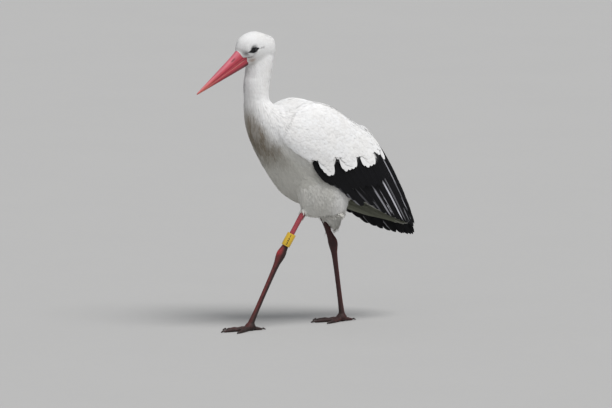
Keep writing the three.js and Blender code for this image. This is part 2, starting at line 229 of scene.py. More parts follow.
def makePlumage():
    tree, shader = newMaterial(
        "whitePlumage",
        {"Roughness": 0.85, "Specular IOR Level": 0.25, "Sheen Weight": 0.12, "Sheen Roughness": 0.6},
    )
    barbs = placeGroup(tree, "barbs", {"Density": 240.0, "Slant": 1.6})
    mottle = mottled(tree, tintOf(tree), cloud=22.0, fine=300.0, amount=0.09)
    shaded = ranged(tree, barbs["Along"], (0.0, 0.4), (0.93, 1.0))
    finishShader(tree, shader, scaled(tree, mottle["Color"], shaded), None, barbs["Height"], 0.1, 0.0002)


def makeFlight():
    tree, shader = newMaterial("blackFeathers", {"Roughness": 0.5, "Specular IOR Level": 0.14})
    barbs = placeGroup(tree, "barbs", {"Density": 420.0, "Slant": 2.2})
    mottle = mottled(tree, tintOf(tree), cloud=40.0, fine=260.0, amount=0.35)
    edge = ranged(tree, barbs["Across"], (0.55, 0.74), kind="SMOOTHSTEP")
    fade = ranged(tree, barbs["Along"], (0.18, 0.4), kind="SMOOTHSTEP")
    mask = maths(tree, "MULTIPLY", maths(tree, "MULTIPLY", edge, fade), readLayer(tree, "pale"))
    toned = blended(tree, mask, mottle["Color"], (0.6, 0.6, 0.65, 1))
    rough = ranged(tree, mottle["Fine"], end=(0.38, 0.62))
    finishShader(tree, shader, toned, rough, barbs["Height"], 0.35, 0.0002)


def makeSkinMaterial():
    tree, shader = newMaterial("skin", {"Roughness": 0.55, "Specular IOR Level": 0.4})
    scales = placeGroup(tree, "scales", {"Size": 430.0})
    mottle = mottled(tree, tintOf(tree), cloud=60.0, fine=500.0, amount=0.3)
    bare = readLayer(tree, "bare")
    # The creases between the scales are painted darker: painted shade in the creases.
    depth = maths(tree, "MULTIPLY", maths(tree, "MULTIPLY", scales["Crease"], 0.35), bare)
    toned = blended(tree, depth, mottle["Color"], (0.02, 0.01, 0.008, 1))
    rough = ranged(tree, mottle["Fine"], end=(0.4, 0.7))
    finishShader(tree, shader, toned, rough, maths(tree, "MULTIPLY", scales["Height"], bare), 0.6, 0.0004)


def makeHorn(name, roughness, stretch, amount):
    tree, shader = newMaterial(name, {"Specular IOR Level": 0.45})
    drawn = nodeOf(tree, "Mapping", {"Vector": vaneMap(tree), "Scale": stretch}).outputs[0]
    streaks = noiseOf(tree, drawn, 1.0, 5.0, Roughness=0.6)["Fac"]
    mottle = mottled(tree, tintOf(tree), cloud=90.0, fine=700.0, amount=amount)
    toned = scaled(tree, mottle["Color"], ranged(tree, streaks, (0.3, 0.7), (0.78, 1.2)))
    rough = ranged(tree, streaks, end=(roughness - 0.12, roughness + 0.15))
    finishShader(tree, shader, toned, rough, streaks, 0.35, 0.0005)


def makeBareSkin():
    tree, shader = newMaterial("bareFaceSkin", {"Roughness": 0.55, "Specular IOR Level": 0.22})
    scales = placeGroup(tree, "scales", {"Size": 900.0})
    mottle = mottled(tree, (0.0045, 0.0045, 0.006, 1), cloud=200.0, fine=900.0, amount=0.5)
    finishShader(tree, shader, mottle["Color"], None, scales["Height"], 0.5, 0.0002)


def makeEyeMaterial():
    tree, shader = newMaterial("eye", {"Roughness": 0.14, "Specular IOR Level": 0.75, "IOR": 1.5})
    made = nodeOf(tree, "ValToRGB", {0: readLayer(tree, "gaze")})
    ramp = made.color_ramp.elements
    ramp[0].color = (0.01, 0.01, 0.012, 1)
    ramp[1].position, ramp[1].color = 0.9, (0.002, 0.002, 0.003, 1)
    ramp.new(0.6).color = (0.02, 0.018, 0.026, 1)
    ramp.new(0.84).color = (0.016, 0.014, 0.02, 1)
    feed(tree, shader, {"Base Color": made.outputs[0]})


def makePlain(name, colour, roughness, amount):
    tree, shader = newMaterial(name, {"Specular IOR Level": 0.45})
    mottle = mottled(tree, colour, cloud=80.0, fine=900.0, amount=amount)
    rough = ranged(tree, mottle["Fine"], end=(roughness - 0.1, roughness + 0.15))
    finishShader(tree, shader, mottle["Color"], rough, mottle["Fine"], 0.15, 0.0003)


makePlumage()
makeFlight()
makeSkinMaterial()
makeHorn("billHorn", 0.36, (18.0, 3.0, 1.0), 0.25)
makeHorn("clawHorn", 0.45, (10.0, 3.0, 1.0), 0.3)
makeBareSkin()
makeEyeMaterial()
makePlain("yellowPlastic", (0.72, 0.46, 0.035, 1), 0.38, 0.25)
makePlain("blackInk", (0.012, 0.012, 0.012, 1), 0.5, 0.2)
print("materials made")


# Meshes: helpers
def newObject(name, data):
    piece = bpy.data.objects.new(name, data)
    bpy.context.scene.collection.objects.link(piece)
    return piece


def addObject(name, mesh, material, replaced=()):
    piece = newObject(name, mesh)
    mesh.materials.append(materials[material])
    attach(piece, "root")
    if replaced:
        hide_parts(*replaced)
    return piece


def meshFrom(bm, name):
    mesh = bpy.data.meshes.new(name)
    bm.to_mesh(mesh)
    bm.free()
    return mesh


def shapeFrom(mesh):
    bm = bmesh.new()
    bm.from_mesh(mesh)
    return bm


# The mesh of an object with its modifiers applied. The object itself goes.
def appliedMesh(holder):
    mesh = bpy.data.meshes.new_from_object(holder.evaluated_get(bpy.context.evaluated_depsgraph_get()))
    bpy.data.objects.remove(holder)
    return mesh


def finishMesh(bm, name, smoothFaces=True):
    bmesh.ops.recalc_face_normals(bm, faces=bm.faces)
    mesh = meshFrom(bm, name)
    mesh.shade_smooth() if smoothFaces else mesh.shade_flat()
    return mesh


def writeTint(mesh, tints):
    layer = mesh.attributes.new("tint", "FLOAT_COLOR", "POINT")
    rgba = np.ones((len(mesh.vertices), 4), np.float32)
    rgba[:, :3] = tints
    layer.data.foreach_set("color", rgba.ravel())


def writeFloat(mesh, name, values):
    layer = mesh.attributes.new(name, "FLOAT", "POINT")
    layer.data.foreach_set("value", np.asarray(values, np.float32))


def coordsOf(mesh, kind="co"):
    flat = np.empty(len(mesh.vertices) * 3, np.float32)
    mesh.vertices.foreach_get(kind, flat)
    return flat.reshape(-1, 3).astype(float)


def setCoords(mesh, points):
    mesh.vertices.foreach_set("co", points.ravel())
    mesh.update()


def mergePoints(bm, reach=merge):
    bmesh.ops.remove_doubles(bm, verts=bm.verts, dist=reach)


def fillHoles(bm):
    bmesh.ops.holes_fill(bm, edges=[e for e in bm.edges if e.is_boundary], sides=0)


# Writes a map from each corner's own place: across and along it go times "scale" and plus "shift".
def writeCornerMap(bm, scale, shift):
    layer = bm.loops.layers.uv.new("vane")
    for face in bm.faces:
        for loop in face.loops:
            loop[layer].uv = (loop.vert.co.x * scale + shift, loop.vert.co.y * scale + shift)


# A grid of faces. cornerAt(u, v) gives each corner's point, with u and v from 0 to 1.
def gridOf(across, along, cornerAt, mapped=False):
    bm = bmesh.new()
    bmesh.ops.create_grid(bm, x_segments=across, y_segments=along, size=0.5)
    if mapped:
        writeCornerMap(bm, 1, 0.5)
    for vert in bm.verts:
        vert.co = cornerAt(vert.co.x + 0.5, vert.co.y + 0.5)
    return bm


# A grid rolled into a tube, whose own map keeps u and v.
def rolledTube(name, around, along, cornerAt, closed=True):
    bm = gridOf(around, along, cornerAt, mapped=True)
    mergePoints(bm)
    if closed:
        fillHoles(bm)
    return finishMesh(bm, name)


# Camera, lamps and floor
view = {
    "turn": 28, "rise": 7, "distance": 25.0, "across": 1.5896, "aimRight": 0.0156, "aimUp": 0.3156,
    "sensor": 36, "reach": 200,
}


def setCamera():
    turn, rise = math.radians(view["turn"]), math.radians(view["rise"])
    toCamera = Vector((math.cos(turn) * math.cos(rise), -math.sin(turn) * math.cos(rise), math.sin(rise)))
    right = Vector((math.sin(turn), math.cos(turn), 0))
    up = toCamera.cross(right)
    target = spot(0, 0, 0) + right * view["aimRight"] + up * view["aimUp"]
    lens = bpy.data.cameras.new("camera")
    lens.sensor_width, lens.clip_end = view["sensor"], view["reach"]
    lens.lens = view["sensor"] * view["distance"] / view["across"]
    camera = newObject("camera", lens)
    basis = Matrix((right, up, toCamera)).transposed().to_4x4()
    camera.matrix_world = Matrix.Translation(target + toCamera * view["distance"]) @ basis
    bpy.context.scene.camera = camera


lamps = {
    "key": {"strength": 2.5, "spread": 30, "from": (3.0, 0.9, 6.0), "colour": (1.0, 0.99, 0.985)},
    "fill": {"strength": 0.32, "spread": 70, "from": (3.5, -3.5, 2.6), "colour": (0.97, 0.985, 1.0)},
}
world = {"strength": 0.37, "colour": (0.93, 0.96, 1.0, 1), "shown": (0.86, 0.86, 0.86, 1)}
floorLook = {"radius": 30.0, "segments": 96, "colour": (0.46, 0.457, 0.45, 1)}


def setLight():
    for name, lamp in lamps.items():
        light = bpy.data.lights.new(name, "SUN")
        light.energy, light.color = lamp["strength"], lamp["colour"]
        light.angle = math.radians(lamp["spread"])
        holder = newObject(name, light)
        holder.location = lamp["from"]
        holder.rotation_euler = (-holder.location).to_track_quat("-Z", "Y").to_euler()
    sky = bpy.data.worlds.new("sky")
    sky.use_nodes = True
    tree = sky.node_tree
    lit = feed(tree, tree.nodes["Background"], {"Color": world["colour"], "Strength": world["strength"]})
    shown = nodeOf(tree, "Background", {"Color": world["shown"], "Strength": 1.0})
    ray = nodeOf(tree, "LightPath").outputs["Is Camera Ray"]
    mix = nodeOf(tree, "MixShader", {0: ray, 1: lit.outputs[0], 2: shown.outputs[0]})
    feed(tree, tree.nodes["World Output"], {"Surface": mix.outputs[0]})
    bpy.context.scene.world = sky


def makeFloor():
    bm = bmesh.new()
    bmesh.ops.create_circle(bm, cap_ends=True, segments=floorLook["segments"], radius=floorLook["radius"])
    floor = newObject("floor", meshFrom(bm, "floor"))
    tree, shader = newMaterial("floorPaint", {"Roughness": 0.8, "Specular IOR Level": 0.2})
    mottle = mottled(tree, floorLook["colour"], cloud=3.0, fine=40.0, amount=0.03)
    feed(tree, shader, {"Base Color": mottle["Color"]})
    floor.data.materials.append(materials["floorPaint"])


bpy.context.scene.view_settings.view_transform = "Standard"
setCamera()
setLight()
makeFloor()
print("camera, lamps and floor set")

# Colours of the bird, shared by skin and feathers
colours = {
    "white": (0.85, 0.845, 0.84),
    "cream": (0.78, 0.755, 0.71),
    # painted shade, for the underside and the tail feathers
    "paintedShade": (0.5, 0.49, 0.44),
    # painted shade under the tail, olive as a painted reflection of grass
    "tailShade": (0.13, 0.135, 0.1),
    # breast dirt, laid darker than the stain as painted shade
    "dirtAndShade": (0.21, 0.16, 0.1),
    "greyShade": (0.36, 0.35, 0.36),
    "black": (0.0035, 0.0035, 0.0045),
    "legRed": (0.55, 0.035, 0.04),
    # painted highlight on the shank's red
    "legLitPink": (0.5, 0.075, 0.1),
    "legMaroon": (0.19, 0.03, 0.028),
    "legDark": (0.03, 0.009, 0.009),
    "legSoil": (0.018, 0.01, 0.008),
    "lores": (0.10, 0.075, 0.07),
    "underEye": (0.12, 0.11, 0.11),
    "mouthLine": (0.1, 0.07, 0.065),
    "bareThroat": (0.42, 0.31, 0.25),
    # painted shadow under the bill's base
    "chinShadow": (0.3, 0.25, 0.21),
    "claw": (0.035, 0.022, 0.018),
    "billRed": (0.48, 0.055, 0.08),
    "billTip": (0.62, 0.17, 0.12),
    # painted highlight on the bill's top
    "billTopHighlight": (0.66, 0.2, 0.25),
    "billGroove": (0.17, 0.012, 0.02),
    "billMouth": (0.2, 0.012, 0.02),
    "nostril": (0.06, 0.008, 0.012),
    "billLip": (0.66, 0.24, 0.19),
    # painted shade under the lower mandible
    "billUnderShade": (0.14, 0.008, 0.015),
    # painted shade under the bill's base
    "billCornerShade": (0.02, 0.008, 0.008),
}
# Marks on each side of the face: colour, middle along and above, half length, half height, share. chinShadow
# is painted shadow under the bill's base.
faceMarks = [
    ("lores", 42.5, 12.5, 4.2, 5, 0.9), ("greyShade", 44, 16, 7, 9, 0.5),
    ("underEye", 2.5, 7.6, 3.6, 1.5, 0.8), ("greyShade", -3, 5.2, 4.5, 2.2, 0.75),
    ("greyShade", 28, 2.2, 6, 3, 0.35), ("mouthLine", 37, -0.6, 7, 1.7, 0.9),
    ("bareThroat", 34.5, -9.5, 7, 5, 0.85), ("chinShadow", 37, -20, 8, 5, 0.4),
]
# Dirt on the lower neck and breast, laid darker than the stain as painted shade, forward of a sloping line
# and off the shoulders; and grey painted shadow on the throat.
soilAndShade = {
    "slope": 0.55, "level": 438, "edge": (42, 88), "foot": (420, 490), "top": (556, 625), "sideTop": 571,
    "sideSlope": 0.42, "sideMost": (-20, 32), "sideEdge": (22, 48), "share": 0.72, "streak": 0.45,
    "cloud": 0.12, "most": 0.9,
}
throatShade = {"foot": (590, 640), "top": (670, 715), "forward": (90, 120), "side": (14, 40), "most": 0.3}
# Painted shade on the underside, darker than the back: a colour and its share for each zone, below a sloping
# line.
zoneShades = {"trunk": ("paintedShade", 0.8), "thigh": ("paintedShade", 0.65), "tail": ("tailShade", 0.95)}
shadeLine = {"level": 450, "slope": 0.6, "edge": (-50, 30)}


def filled(name, count):
    return np.tile(np.array(colours[name]), (count, 1))


def blendTo(base, name, share):
    return base + (np.array(colours[name]) - base) * np.asarray(share)[:, None]


def peak(value, middle, width, power=2):
    return np.exp(-(((value - middle) / width) ** power))


def noiseAt(points, scale, offset=0.0):
    return np.array([noise.noise(Vector(p) * scale + Vector((offset, offset, offset))) for p in points])


def coatColour(points):
    forward, left, up = bodyParts(points)
    cloud = noiseAt(points, 26)
    streak = noiseAt(points * np.array([1, 1, 0.1]), 105, 5.0)
    base = filled("white", len(points))
    base = blendTo(base, "cream", np.clip(0.25 + 0.5 * cloud, 0, 1) * 0.5)
    # Dirt on the breast, darkened further as painted shade.
    breast = smooth(forward - soilAndShade["slope"] * (up - soilAndShade["level"]), *soilAndShade["edge"])
    breast = breast * smooth(up, *soilAndShade["foot"]) * (1 - smooth(up, *soilAndShade["top"]))
    side = np.clip((soilAndShade["sideTop"] - up) * soilAndShade["sideSlope"], *soilAndShade["sideMost"])
    breast = breast * (1 - smooth(np.abs(left) - side, *soilAndShade["sideEdge"]))
    amount = soilAndShade["share"] + soilAndShade["streak"] * streak + soilAndShade["cloud"] * cloud
    base = blendTo(base, "dirtAndShade", np.clip(breast * amount, 0, soilAndShade["most"]))
    # Painted shadow of the head on the throat.
    throat = smooth(up, *throatShade["foot"]) * (1 - smooth(up, *throatShade["top"]))
    throat = throat * smooth(forward, *throatShade["forward"])
    throat = throat * (1 - smooth(np.abs(left), *throatShade["side"]))
    base = blendTo(base, "greyShade", np.clip(throat * (0.1 + 0.4 * streak), 0, throatShade["most"]))
    along, aside, above = headParts(points)
    for side in sides.values():
        for name, middle, height, long, high, share in faceMarks:
            oval = np.exp(-(((along - middle) / long) ** 2) - ((above - height) / high) ** 2)
            base = blendTo(base, name, oval * smooth(aside * side, 3, 12) * share)
    return base


# Darkens a zone's underside towards its shade colour: painted shade.
def shadeZone(base, points, zone):
    name, share = zoneShades[zone]
    forward, left, up = bodyParts(points)
    low = share * (1 - smooth(up - shadeLine["level"] - shadeLine["slope"] * forward, *shadeLine["edge"]))
    if zone == "thigh":
        # The rear of the left thigh keeps less of the painted shade: painted light.
        litRear = smooth(-forward, 35, 80) * smooth(up, 295, 330) * (left > 30)  # the rear of the left one
        low = low * (1 - 0.8 * litRear)
    return base * (1 + low[:, None] * (np.array(colours[name]) / colours["white"] - 1))


def legColour(points, normals):
    _, left, up = bodyParts(points)
    patch = noiseAt(points, 70) + 0.5 * noiseAt(points, 190, 3.0)
    # Redder on the near leg's front, partly painted highlight; the back and the far leg darker, partly dirt
    # and partly painted shade.
    ahead, behind = smooth(-normals[:, 1], -0.1, 0.7), smooth(normals[:, 1], -0.1, 0.7)
    ruddyAndLit = np.where(left > 0, ahead, 0.15 + 0.5 * behind) * (0.8 + 0.7 * patch)
    base = blendTo(filled("legDark", len(points)), "legMaroon", np.clip(ruddyAndLit, 0, 1))
    # The near leg's shank turns pink: its red lightened as painted highlight, less on the back.
    shank = smooth(up, 234, 248) * (left > 0)
    base = blendTo(base, "legLitPink", shank * np.clip(0.9 - 0.4 * behind + 0.3 * patch, 0, 1))
    knob = np.exp(-np.sum((points - np.array(spot(86, 32, 208))) ** 2, axis=1) / 0.014**2)
    base = blendTo(base, "legRed", np.clip(knob * 1.4 - 0.15, 0, 1))
    muddy = np.clip(0.7 * patch + 0.55 * (1 - smooth(up, 15, 80)), 0, 0.8) * (1 - shank)
    return blendTo(base, "legSoil", muddy)


# The bill in the head's axes, in millimetres, and the edge of the face's feathers: above, then along.
billPlan = {
    "start": 36, "corner": 43, "line": -2, "length": 169, "upper": 26.5, "lower": 21, "wide": 13.5,
    "edge": 1.2,
}
faceEdge = np.array([
    (-60, 50), (-30, 54), (-16.5, 51.5), (-8.6, 47), (-5, 43.5), (0, 43), (3, 47.5), (6, 52), (9, 54),
    (14, 54.5), (20, 55.5), (27, 58.5), (34, 63), (60, 66),
])


def billShare(along):
    return (along - billPlan["corner"]) / billPlan["length"]


def billDepth(along, way):
    brow = 3 * np.clip(1 - billShare(along) / 0.25, 0, 1) ** 1.5 if way > 0 else 0
    depth = billPlan["upper" if way > 0 else "lower"] * np.clip(1 - billShare(along), 0, 1.05)
    return depth + billPlan["edge"] + brow


def billWidth(along):
    return billPlan["wide"] * np.clip(1 - billShare(along), 0, 1.05) ** 0.8 + 1


def faceGap(along, above):
    return np.interp(above, faceEdge[:, 0], faceEdge[:, 1]) - along


# Places round the bill's middle: how far along and above, how high the middle is, the turn round it, the
# reach from it, and how far the bill itself reaches there.
def roundBill(points):
    along, left, above = headParts(points)
    top, bottom = billPlan["line"] + billDepth(along, 1), billPlan["line"] - billDepth(along, -1)
    middle = (top + bottom) / 2
    turn = np.arctan2(above - middle, left)
    reach = np.hypot(left, above - middle)
    bill = 1 / np.sqrt((np.cos(turn) / billWidth(along)) ** 2 + (2 * np.sin(turn) / (top - bottom)) ** 2)
    return along, above, middle, turn, reach, bill


# Draws the head's skin in to meet the bill along the edge of the face.
def meetBill(points, isHead):
    along, above, middle, turn, reach, bill = roundBill(points)
    gap = faceGap(along, above)
    base = bill - 1.6 + 2.6 * smooth(gap, 0, 4)
    reach = base + np.maximum(reach - base, 0) * smooth(gap, -1, 17)
    local = np.stack([reach * np.cos(turn), -along, middle + reach * np.sin(turn)], axis=1) / 1000
    turned = np.array(headFrame)
    return np.where((isHead & (along > 20))[:, None], local @ turned[:3, :3].T + turned[:3, 3], points)


# The folded wings in side view: forward and up along the top, the lower edge and the border of the white.
wingTop = np.array([
    (-325, 262), (-306, 301), (-272, 367), (-238, 436), (-190, 497), (-130, 534), (-66, 572), (0, 588),
    (62, 565), (94, 545),
])
wingFoot = np.array([
    (-329, 245), (-320, 249), (-290, 260), (-250, 277), (-200, 300), (-140, 330), (-78, 378), (-12, 421),
    (52, 456), (97, 500),
])
wingDroop = {"left": 0, "right": 39}
farReach = {"left": 0, "right": 22}
whiteBorder = np.array([
    (-245, 420), (-226, 428), (-219, 436), (-213, 443), (-204, 439), (-195, 433), (-193, 425), (-190, 417),
    (-178, 417), (-166, 413), (-153, 416), (-148, 418), (-143, 424), (-138, 435), (-126, 436), (-123, 424),
    (-118, 415), (-104, 416), (-94, 410), (-84, 409), (-79, 412), (-74, 420), (-71, 428), (-66, 434),
    (-59, 437), (-52, 441), (-50, 412), (-42, 401), (-33, 400), (-26, 406), (-17, 416), (-9, 427),
    (-2, 438), (10, 430), (60, 400),
])


# How far along the folded wing a place lies, from the shoulder at 0 to the tip at 1.
def wingShare(forward):
    last = len(wingTop) - 1
    return np.interp(forward, wingTop[:, 0], np.arange(last, -1, -1) / last)


# How far the lower, further wing hangs below the mirrored place of the other, in millimetres.
def sinkAt(side, forward, up):
    share = wingShare(forward)
    high, low = (np.interp(forward, edge[:, 0], edge[:, 1]) for edge in (wingTop, wingFoot))
    lower = np.clip((high - up) / np.maximum(high - low, 1), 0, 1)
    footSink = smooth(share, 0.25, 0.65) * (1 - 0.3 * smooth(share, 0.75, 1))
    return wingDroop[side] * (footSink * lower + 0.9 * smooth(share, 0.55, 1) * (1 - lower))


def aboveBorder(points):
    forward, left, up = bodyParts(points)
    up = up + np.where(left < 0, sinkAt("right", forward, up), 0)
    return up - np.interp(forward, whiteBorder[:, 0], whiteBorder[:, 1])


# Skin: one surface under the coat and over the legs
skinPlan = {
    "voxel": 0.0022, "rough": 0.003, "swell": 0.0006, "closing": 0.009, "extra": 0.0004, "bodyRounds": 14,
    "legRounds": 2, "keep": 0.3, "legDepth": 0.0002, "tailEnd": 317, "plate": 0.0028, "plateRise": 0.00022,
    "plateGap": 0.4, "plateFoot": 0.002, "sole": 0.0012, "darkEdge": 12, "underCoat": 0.9,
    "depth": {"head": 1.6, "neck": 2.6, "trunk": 3.4, "thigh": 5.0, "wing": 2.2, "tail": 3.0, "leg": 0.0},
}
fleshNodes = ["trunk", "head", "neck_upper", "neck_lower", "tail"]
for name in sides:
    fleshNodes += [f"wing_{name}", f"thigh_{name}", f"shank_{name}", f"tarsus_{name}", f"foot_{name}"]
    fleshNodes += [f"toe_{name}_{toe}" for toe in toeNames]
regionNames = list(skinPlan["depth"])


def regionOf(node):
    for word in regionNames[:-1]:
        if node.startswith(word):
            return word
    return "leg"


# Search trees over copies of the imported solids, with the region of each triangle.
def treeOf(names):
    points, faces, owners = [], [], []
    for node in names:
        mesh = nodes[node].data
        start = len(points)
        points += [v.co.copy() for v in mesh.vertices]
        for polygon in mesh.polygons:
            faces.append([start + i for i in polygon.vertices])
            owners.append(regionNames.index(regionOf(node)))
    return BVHTree.FromPolygons(points, faces), owners


fleshTree, fleshOwners = treeOf(fleshNodes)


def regionsAt(points):
    found = [fleshTree.find_nearest(Vector(p))[2] for p in points]
    return np.array([fleshOwners[i] for i in found])


# Evens out values over a mesh: each moves halfway to its neighbours' mean, as far as "hold" lets it.
def spreadOver(values, edges, rounds, hold=None):
    count = len(values)
    flat = values.reshape(count, -1)
    first, second = edges.T
    met = np.bincount(first, minlength=count) + np.bincount(second, minlength=count)
    share = np.maximum(met, 1)[:, None]
    for _ in range(rounds):
        total = [np.bincount(first, v[second], count) + np.bincount(second, v[first], count) for v in flat.T]
        fresh = 0.5 * flat + 0.5 * np.stack(total, axis=1) / share
        flat = fresh if hold is None else flat + (fresh - flat) * hold[:, None]
    return flat.reshape(values.shape)


def edgesOf(mesh):
    flat = np.empty(len(mesh.edges) * 2, np.int32)
    mesh.edges.foreach_get("vertices", flat)
    return flat.reshape(-1, 2)


# Joins overlapping shapes into one even skin of small squares.
def joinedShape(bm, voxel):
    holder = newObject("rough", meshFrom(bm, "rough"))
    remesh = holder.modifiers.new("remesh", "REMESH")
    remesh.mode, remesh.voxel_size = "VOXEL", voxel
    return appliedMesh(holder)


def packedShape(names):
    bm = bmesh.new()
    for node in names:
        bm.from_mesh(nodes[node].data)
    mergePoints(bm)
    bm.normal_update()
    for vert in bm.verts:
        vert.co += vert.normal * skinPlan["swell"]
    return bm


def pushOut(mesh, reach, rounds):
    points, edges = coordsOf(mesh), edgesOf(mesh)
    normals = unit(spreadOver(coordsOf(mesh, "normal"), edges, rounds))
    setCoords(mesh, spreadOver(points + normals * reach, edges, 2))
    return shapeFrom(mesh)


def makeSkin():
    # Swelling the body and shrinking it again fills the narrow grooves between wings, neck and back.
    plan = skinPlan
    body = packedShape(["trunk", "neck_lower", "neck_upper", "wing_left", "wing_right"])
    swollen = joinedShape(pushOut(joinedShape(body, plan["rough"]), plan["closing"], 2), plan["rough"])
    shrunk = meshFrom(pushOut(swollen, -plan["closing"] - plan["extra"], 3), "shrunk")
    bm = packedShape(fleshNodes)
    bm.from_mesh(shrunk)
    mesh = joinedShape(bm, plan["voxel"])

    points, edges = coordsOf(mesh), edgesOf(mesh)
    region = regionsAt(points)
    isLeg = region == regionNames.index("leg")
    depth = np.array(list(plan["depth"].values()))[region] / 1000
    down = np.clip(bodyParts(points)[0] / -plan["tailEnd"], 0.4, 1)
    thinned = depth * (1.0 - 0.7 * smooth(down, 0.55, 0.9))  # the tail's end is thin
    depth = np.where(region == regionNames.index("tail"), thinned, depth)
    depth = spreadOver(depth, edges, 14)
    depth = np.where(isLeg, np.minimum(depth, plan["legDepth"]), depth)
    hold = np.where(isLeg, plan["legRounds"] / plan["bodyRounds"], 1.0)
    points = spreadOver(points, edges, plan["bodyRounds"], hold)
    setCoords(mesh, points)
    points = points - unit(spreadOver(coordsOf(mesh, "normal"), edges, 6)) * depth[:, None]
    points = spreadOver(points, edges, 4, np.where(isLeg, 0.2, 1.0))
    setCoords(mesh, meetBill(points, region == regionNames.index("head")))

    # The body under the coat is thinned out. The legs get twice the detail, and their plates stand proud.
    holder = newObject("thin", mesh)
    holder.vertex_groups.new(name="covered").add([int(i) for i in np.nonzero(~isLeg)[0]], 1.0, "REPLACE")
    thin = holder.modifiers.new("thin", "DECIMATE")
    thin.ratio, thin.vertex_group = plan["keep"], "covered"
    mesh = appliedMesh(holder)
    isLeg = regionsAt(coordsOf(mesh)) == regionNames.index("leg")
    bm = shapeFrom(mesh)
    bm.verts.ensure_lookup_table()
    legEdges = [e for e in bm.edges if isLeg[e.verts[0].index] and isLeg[e.verts[1].index]]
    bmesh.ops.subdivide_edges(bm, edges=legEdges, cuts=1, use_grid_fill=True)
    bm.to_mesh(mesh)
    bm.free()
    points, edges = coordsOf(mesh), edgesOf(mesh)
    region = regionsAt(points)
    isLeg = region == regionNames.index("leg")
    points = spreadOver(points, edges, 2, np.where(isLeg, 0.7, 0.0))
    onFloor = isLeg & (points[:, 2] < plan["sole"])
    points[:, 2] = np.where(onFloor, np.maximum(points[:, 2], 0), points[:, 2])
    setCoords(mesh, points)
    normals = coordsOf(mesh, "normal")
    raised = np.zeros(len(points))
    for i in np.nonzero(isLeg & (points[:, 2] >= plan["plateFoot"]))[0]:
        gaps = noise.voronoi(Vector(points[i]) / plan["plate"])[0]
        raised[i] = min((gaps[1] - gaps[0]) / plan["plateGap"], 1.0) * plan["plateRise"]
    points = points + normals * raised[:, None]
    mesh.shade_smooth()
    setCoords(mesh, points)
    tint = coatColour(points) * plan["underCoat"]
    for zone in zoneShades:
        here = region == regionNames.index(zone)
        tint[here] = shadeZone(tint[here], points[here], zone)
    dark = (region == regionNames.index("wing")) & (aboveBorder(points) < plan["darkEdge"])
    tint[dark] = colours["black"]
    writeTint(mesh, np.where(isLeg[:, None], legColour(points, normals), tint))
    writeFloat(mesh, "bare", isLeg)
    mesh.name = "skin"
    return addObject("skin", mesh, "skin", fleshNodes), region


skin, skinRegion = makeSkin()
print("skin made,", len(skin.data.polygons), "faces")
skinTree = BVHTree.FromObject(skin, bpy.context.evaluated_depsgraph_get())
wingTrees = {name: treeOf([f"wing_{name}", f"flight_{name}"])[0] for name in sides}
flightTrees = {name: treeOf([f"flight_{name}"])[0] for name in sides}
unwrapPlan = {"voxel": 0.009, "angle": 66, "margin": 0.004, "patch": 0.003}


# Every root's place on a flat unwrap of the skin's shape, for the coat's bake map.
def makeUnwrap():
    holder = newObject("unwrap", joinedShape(shapeFrom(skin.data), unwrapPlan["voxel"]))
    bpy.context.view_layer.objects.active = holder
    holder.select_set(True)
    bpy.ops.object.mode_set(mode="EDIT")
    bpy.ops.mesh.select_all(action="SELECT")
    angle = math.radians(unwrapPlan["angle"])
    bpy.ops.uv.smart_project(angle_limit=angle, island_margin=unwrapPlan["margin"])
    bpy.ops.object.mode_set(mode="OBJECT")
    mesh = holder.data
    mesh.calc_loop_triangles()
    layer = mesh.uv_layers.active.data
    points = [v.co.copy() for v in mesh.vertices]
    corners = [list(t.vertices) for t in mesh.loop_triangles]
    maps = [[layer[i].uv.copy() for i in t.loops] for t in mesh.loop_triangles]
    bpy.data.objects.remove(holder)
    return BVHTree.FromPolygons(points, corners), points, corners, maps


unwrapTree, unwrapPoints, unwrapCorners, unwrapMaps = makeUnwrap()
print("unwrap ready,", len(unwrapCorners), "triangles")


def unwrapAt(places):
    found = np.empty((len(places), 2))
    for i, place in enumerate(places):
        at, _, face, _ = unwrapTree.find_nearest(Vector(place))
        a, b, c = (unwrapPoints[k] for k in unwrapCorners[face])
        trios = (a, b, c), (at, b, c), (a, at, c)
        whole, first, second = ((q - p).cross(r - p).length for p, q, r in trios)
        first, second = first / max(whole, 1e-12), second / max(whole, 1e-12)
        ma, mb, mc = unwrapMaps[face]
        found[i] = ma * first + mb * second + mc * max(1 - first - second, 0)
    return found


# Vanes: one small closed blade, copied over the skin
vaneShapes = {
    "soft": {"along": [0, 0.36, 0.76, 1], "half": [0.5, 1, 0.74, 0], "crown": 0.2},
    "lance": {"along": [0, 0.34, 0.74, 1], "half": [0.6, 1, 0.62, 0], "crown": 0.2},
    "broad": {"along": [0, 0.24, 0.5, 0.72, 0.89, 1], "half": [0.3, 0.86, 1, 0.92, 0.6, 0], "crown": 0.08},
}
quillShapes = {
    "quill": {
        "along": [0, 0.04, 0.12, 0.25, 0.4, 0.55, 0.68, 0.79, 0.87, 0.93, 0.97, 1],
        "half": [0.1, 0.3, 0.74, 0.95, 1, 1, 0.99, 0.94, 0.84, 0.66, 0.44, 0.06],
        "shaft": 0.1, "camber": 0.05, "thick": 0.03,
    },
    "covert": {
        "along": [0, 0.05, 0.15, 0.3, 0.45, 0.6, 0.72, 0.82, 0.9, 0.955, 0.985, 1],
        "half": [0.15, 0.4, 0.8, 0.97, 1, 1, 0.99, 0.95, 0.83, 0.62, 0.38, 0.06],
        "shaft": 0.04, "camber": 0.05, "thick": 0.03,
    },
}
quillColumns = [-1, -0.55, -0.07, 0, 0.07, 0.55, 1]


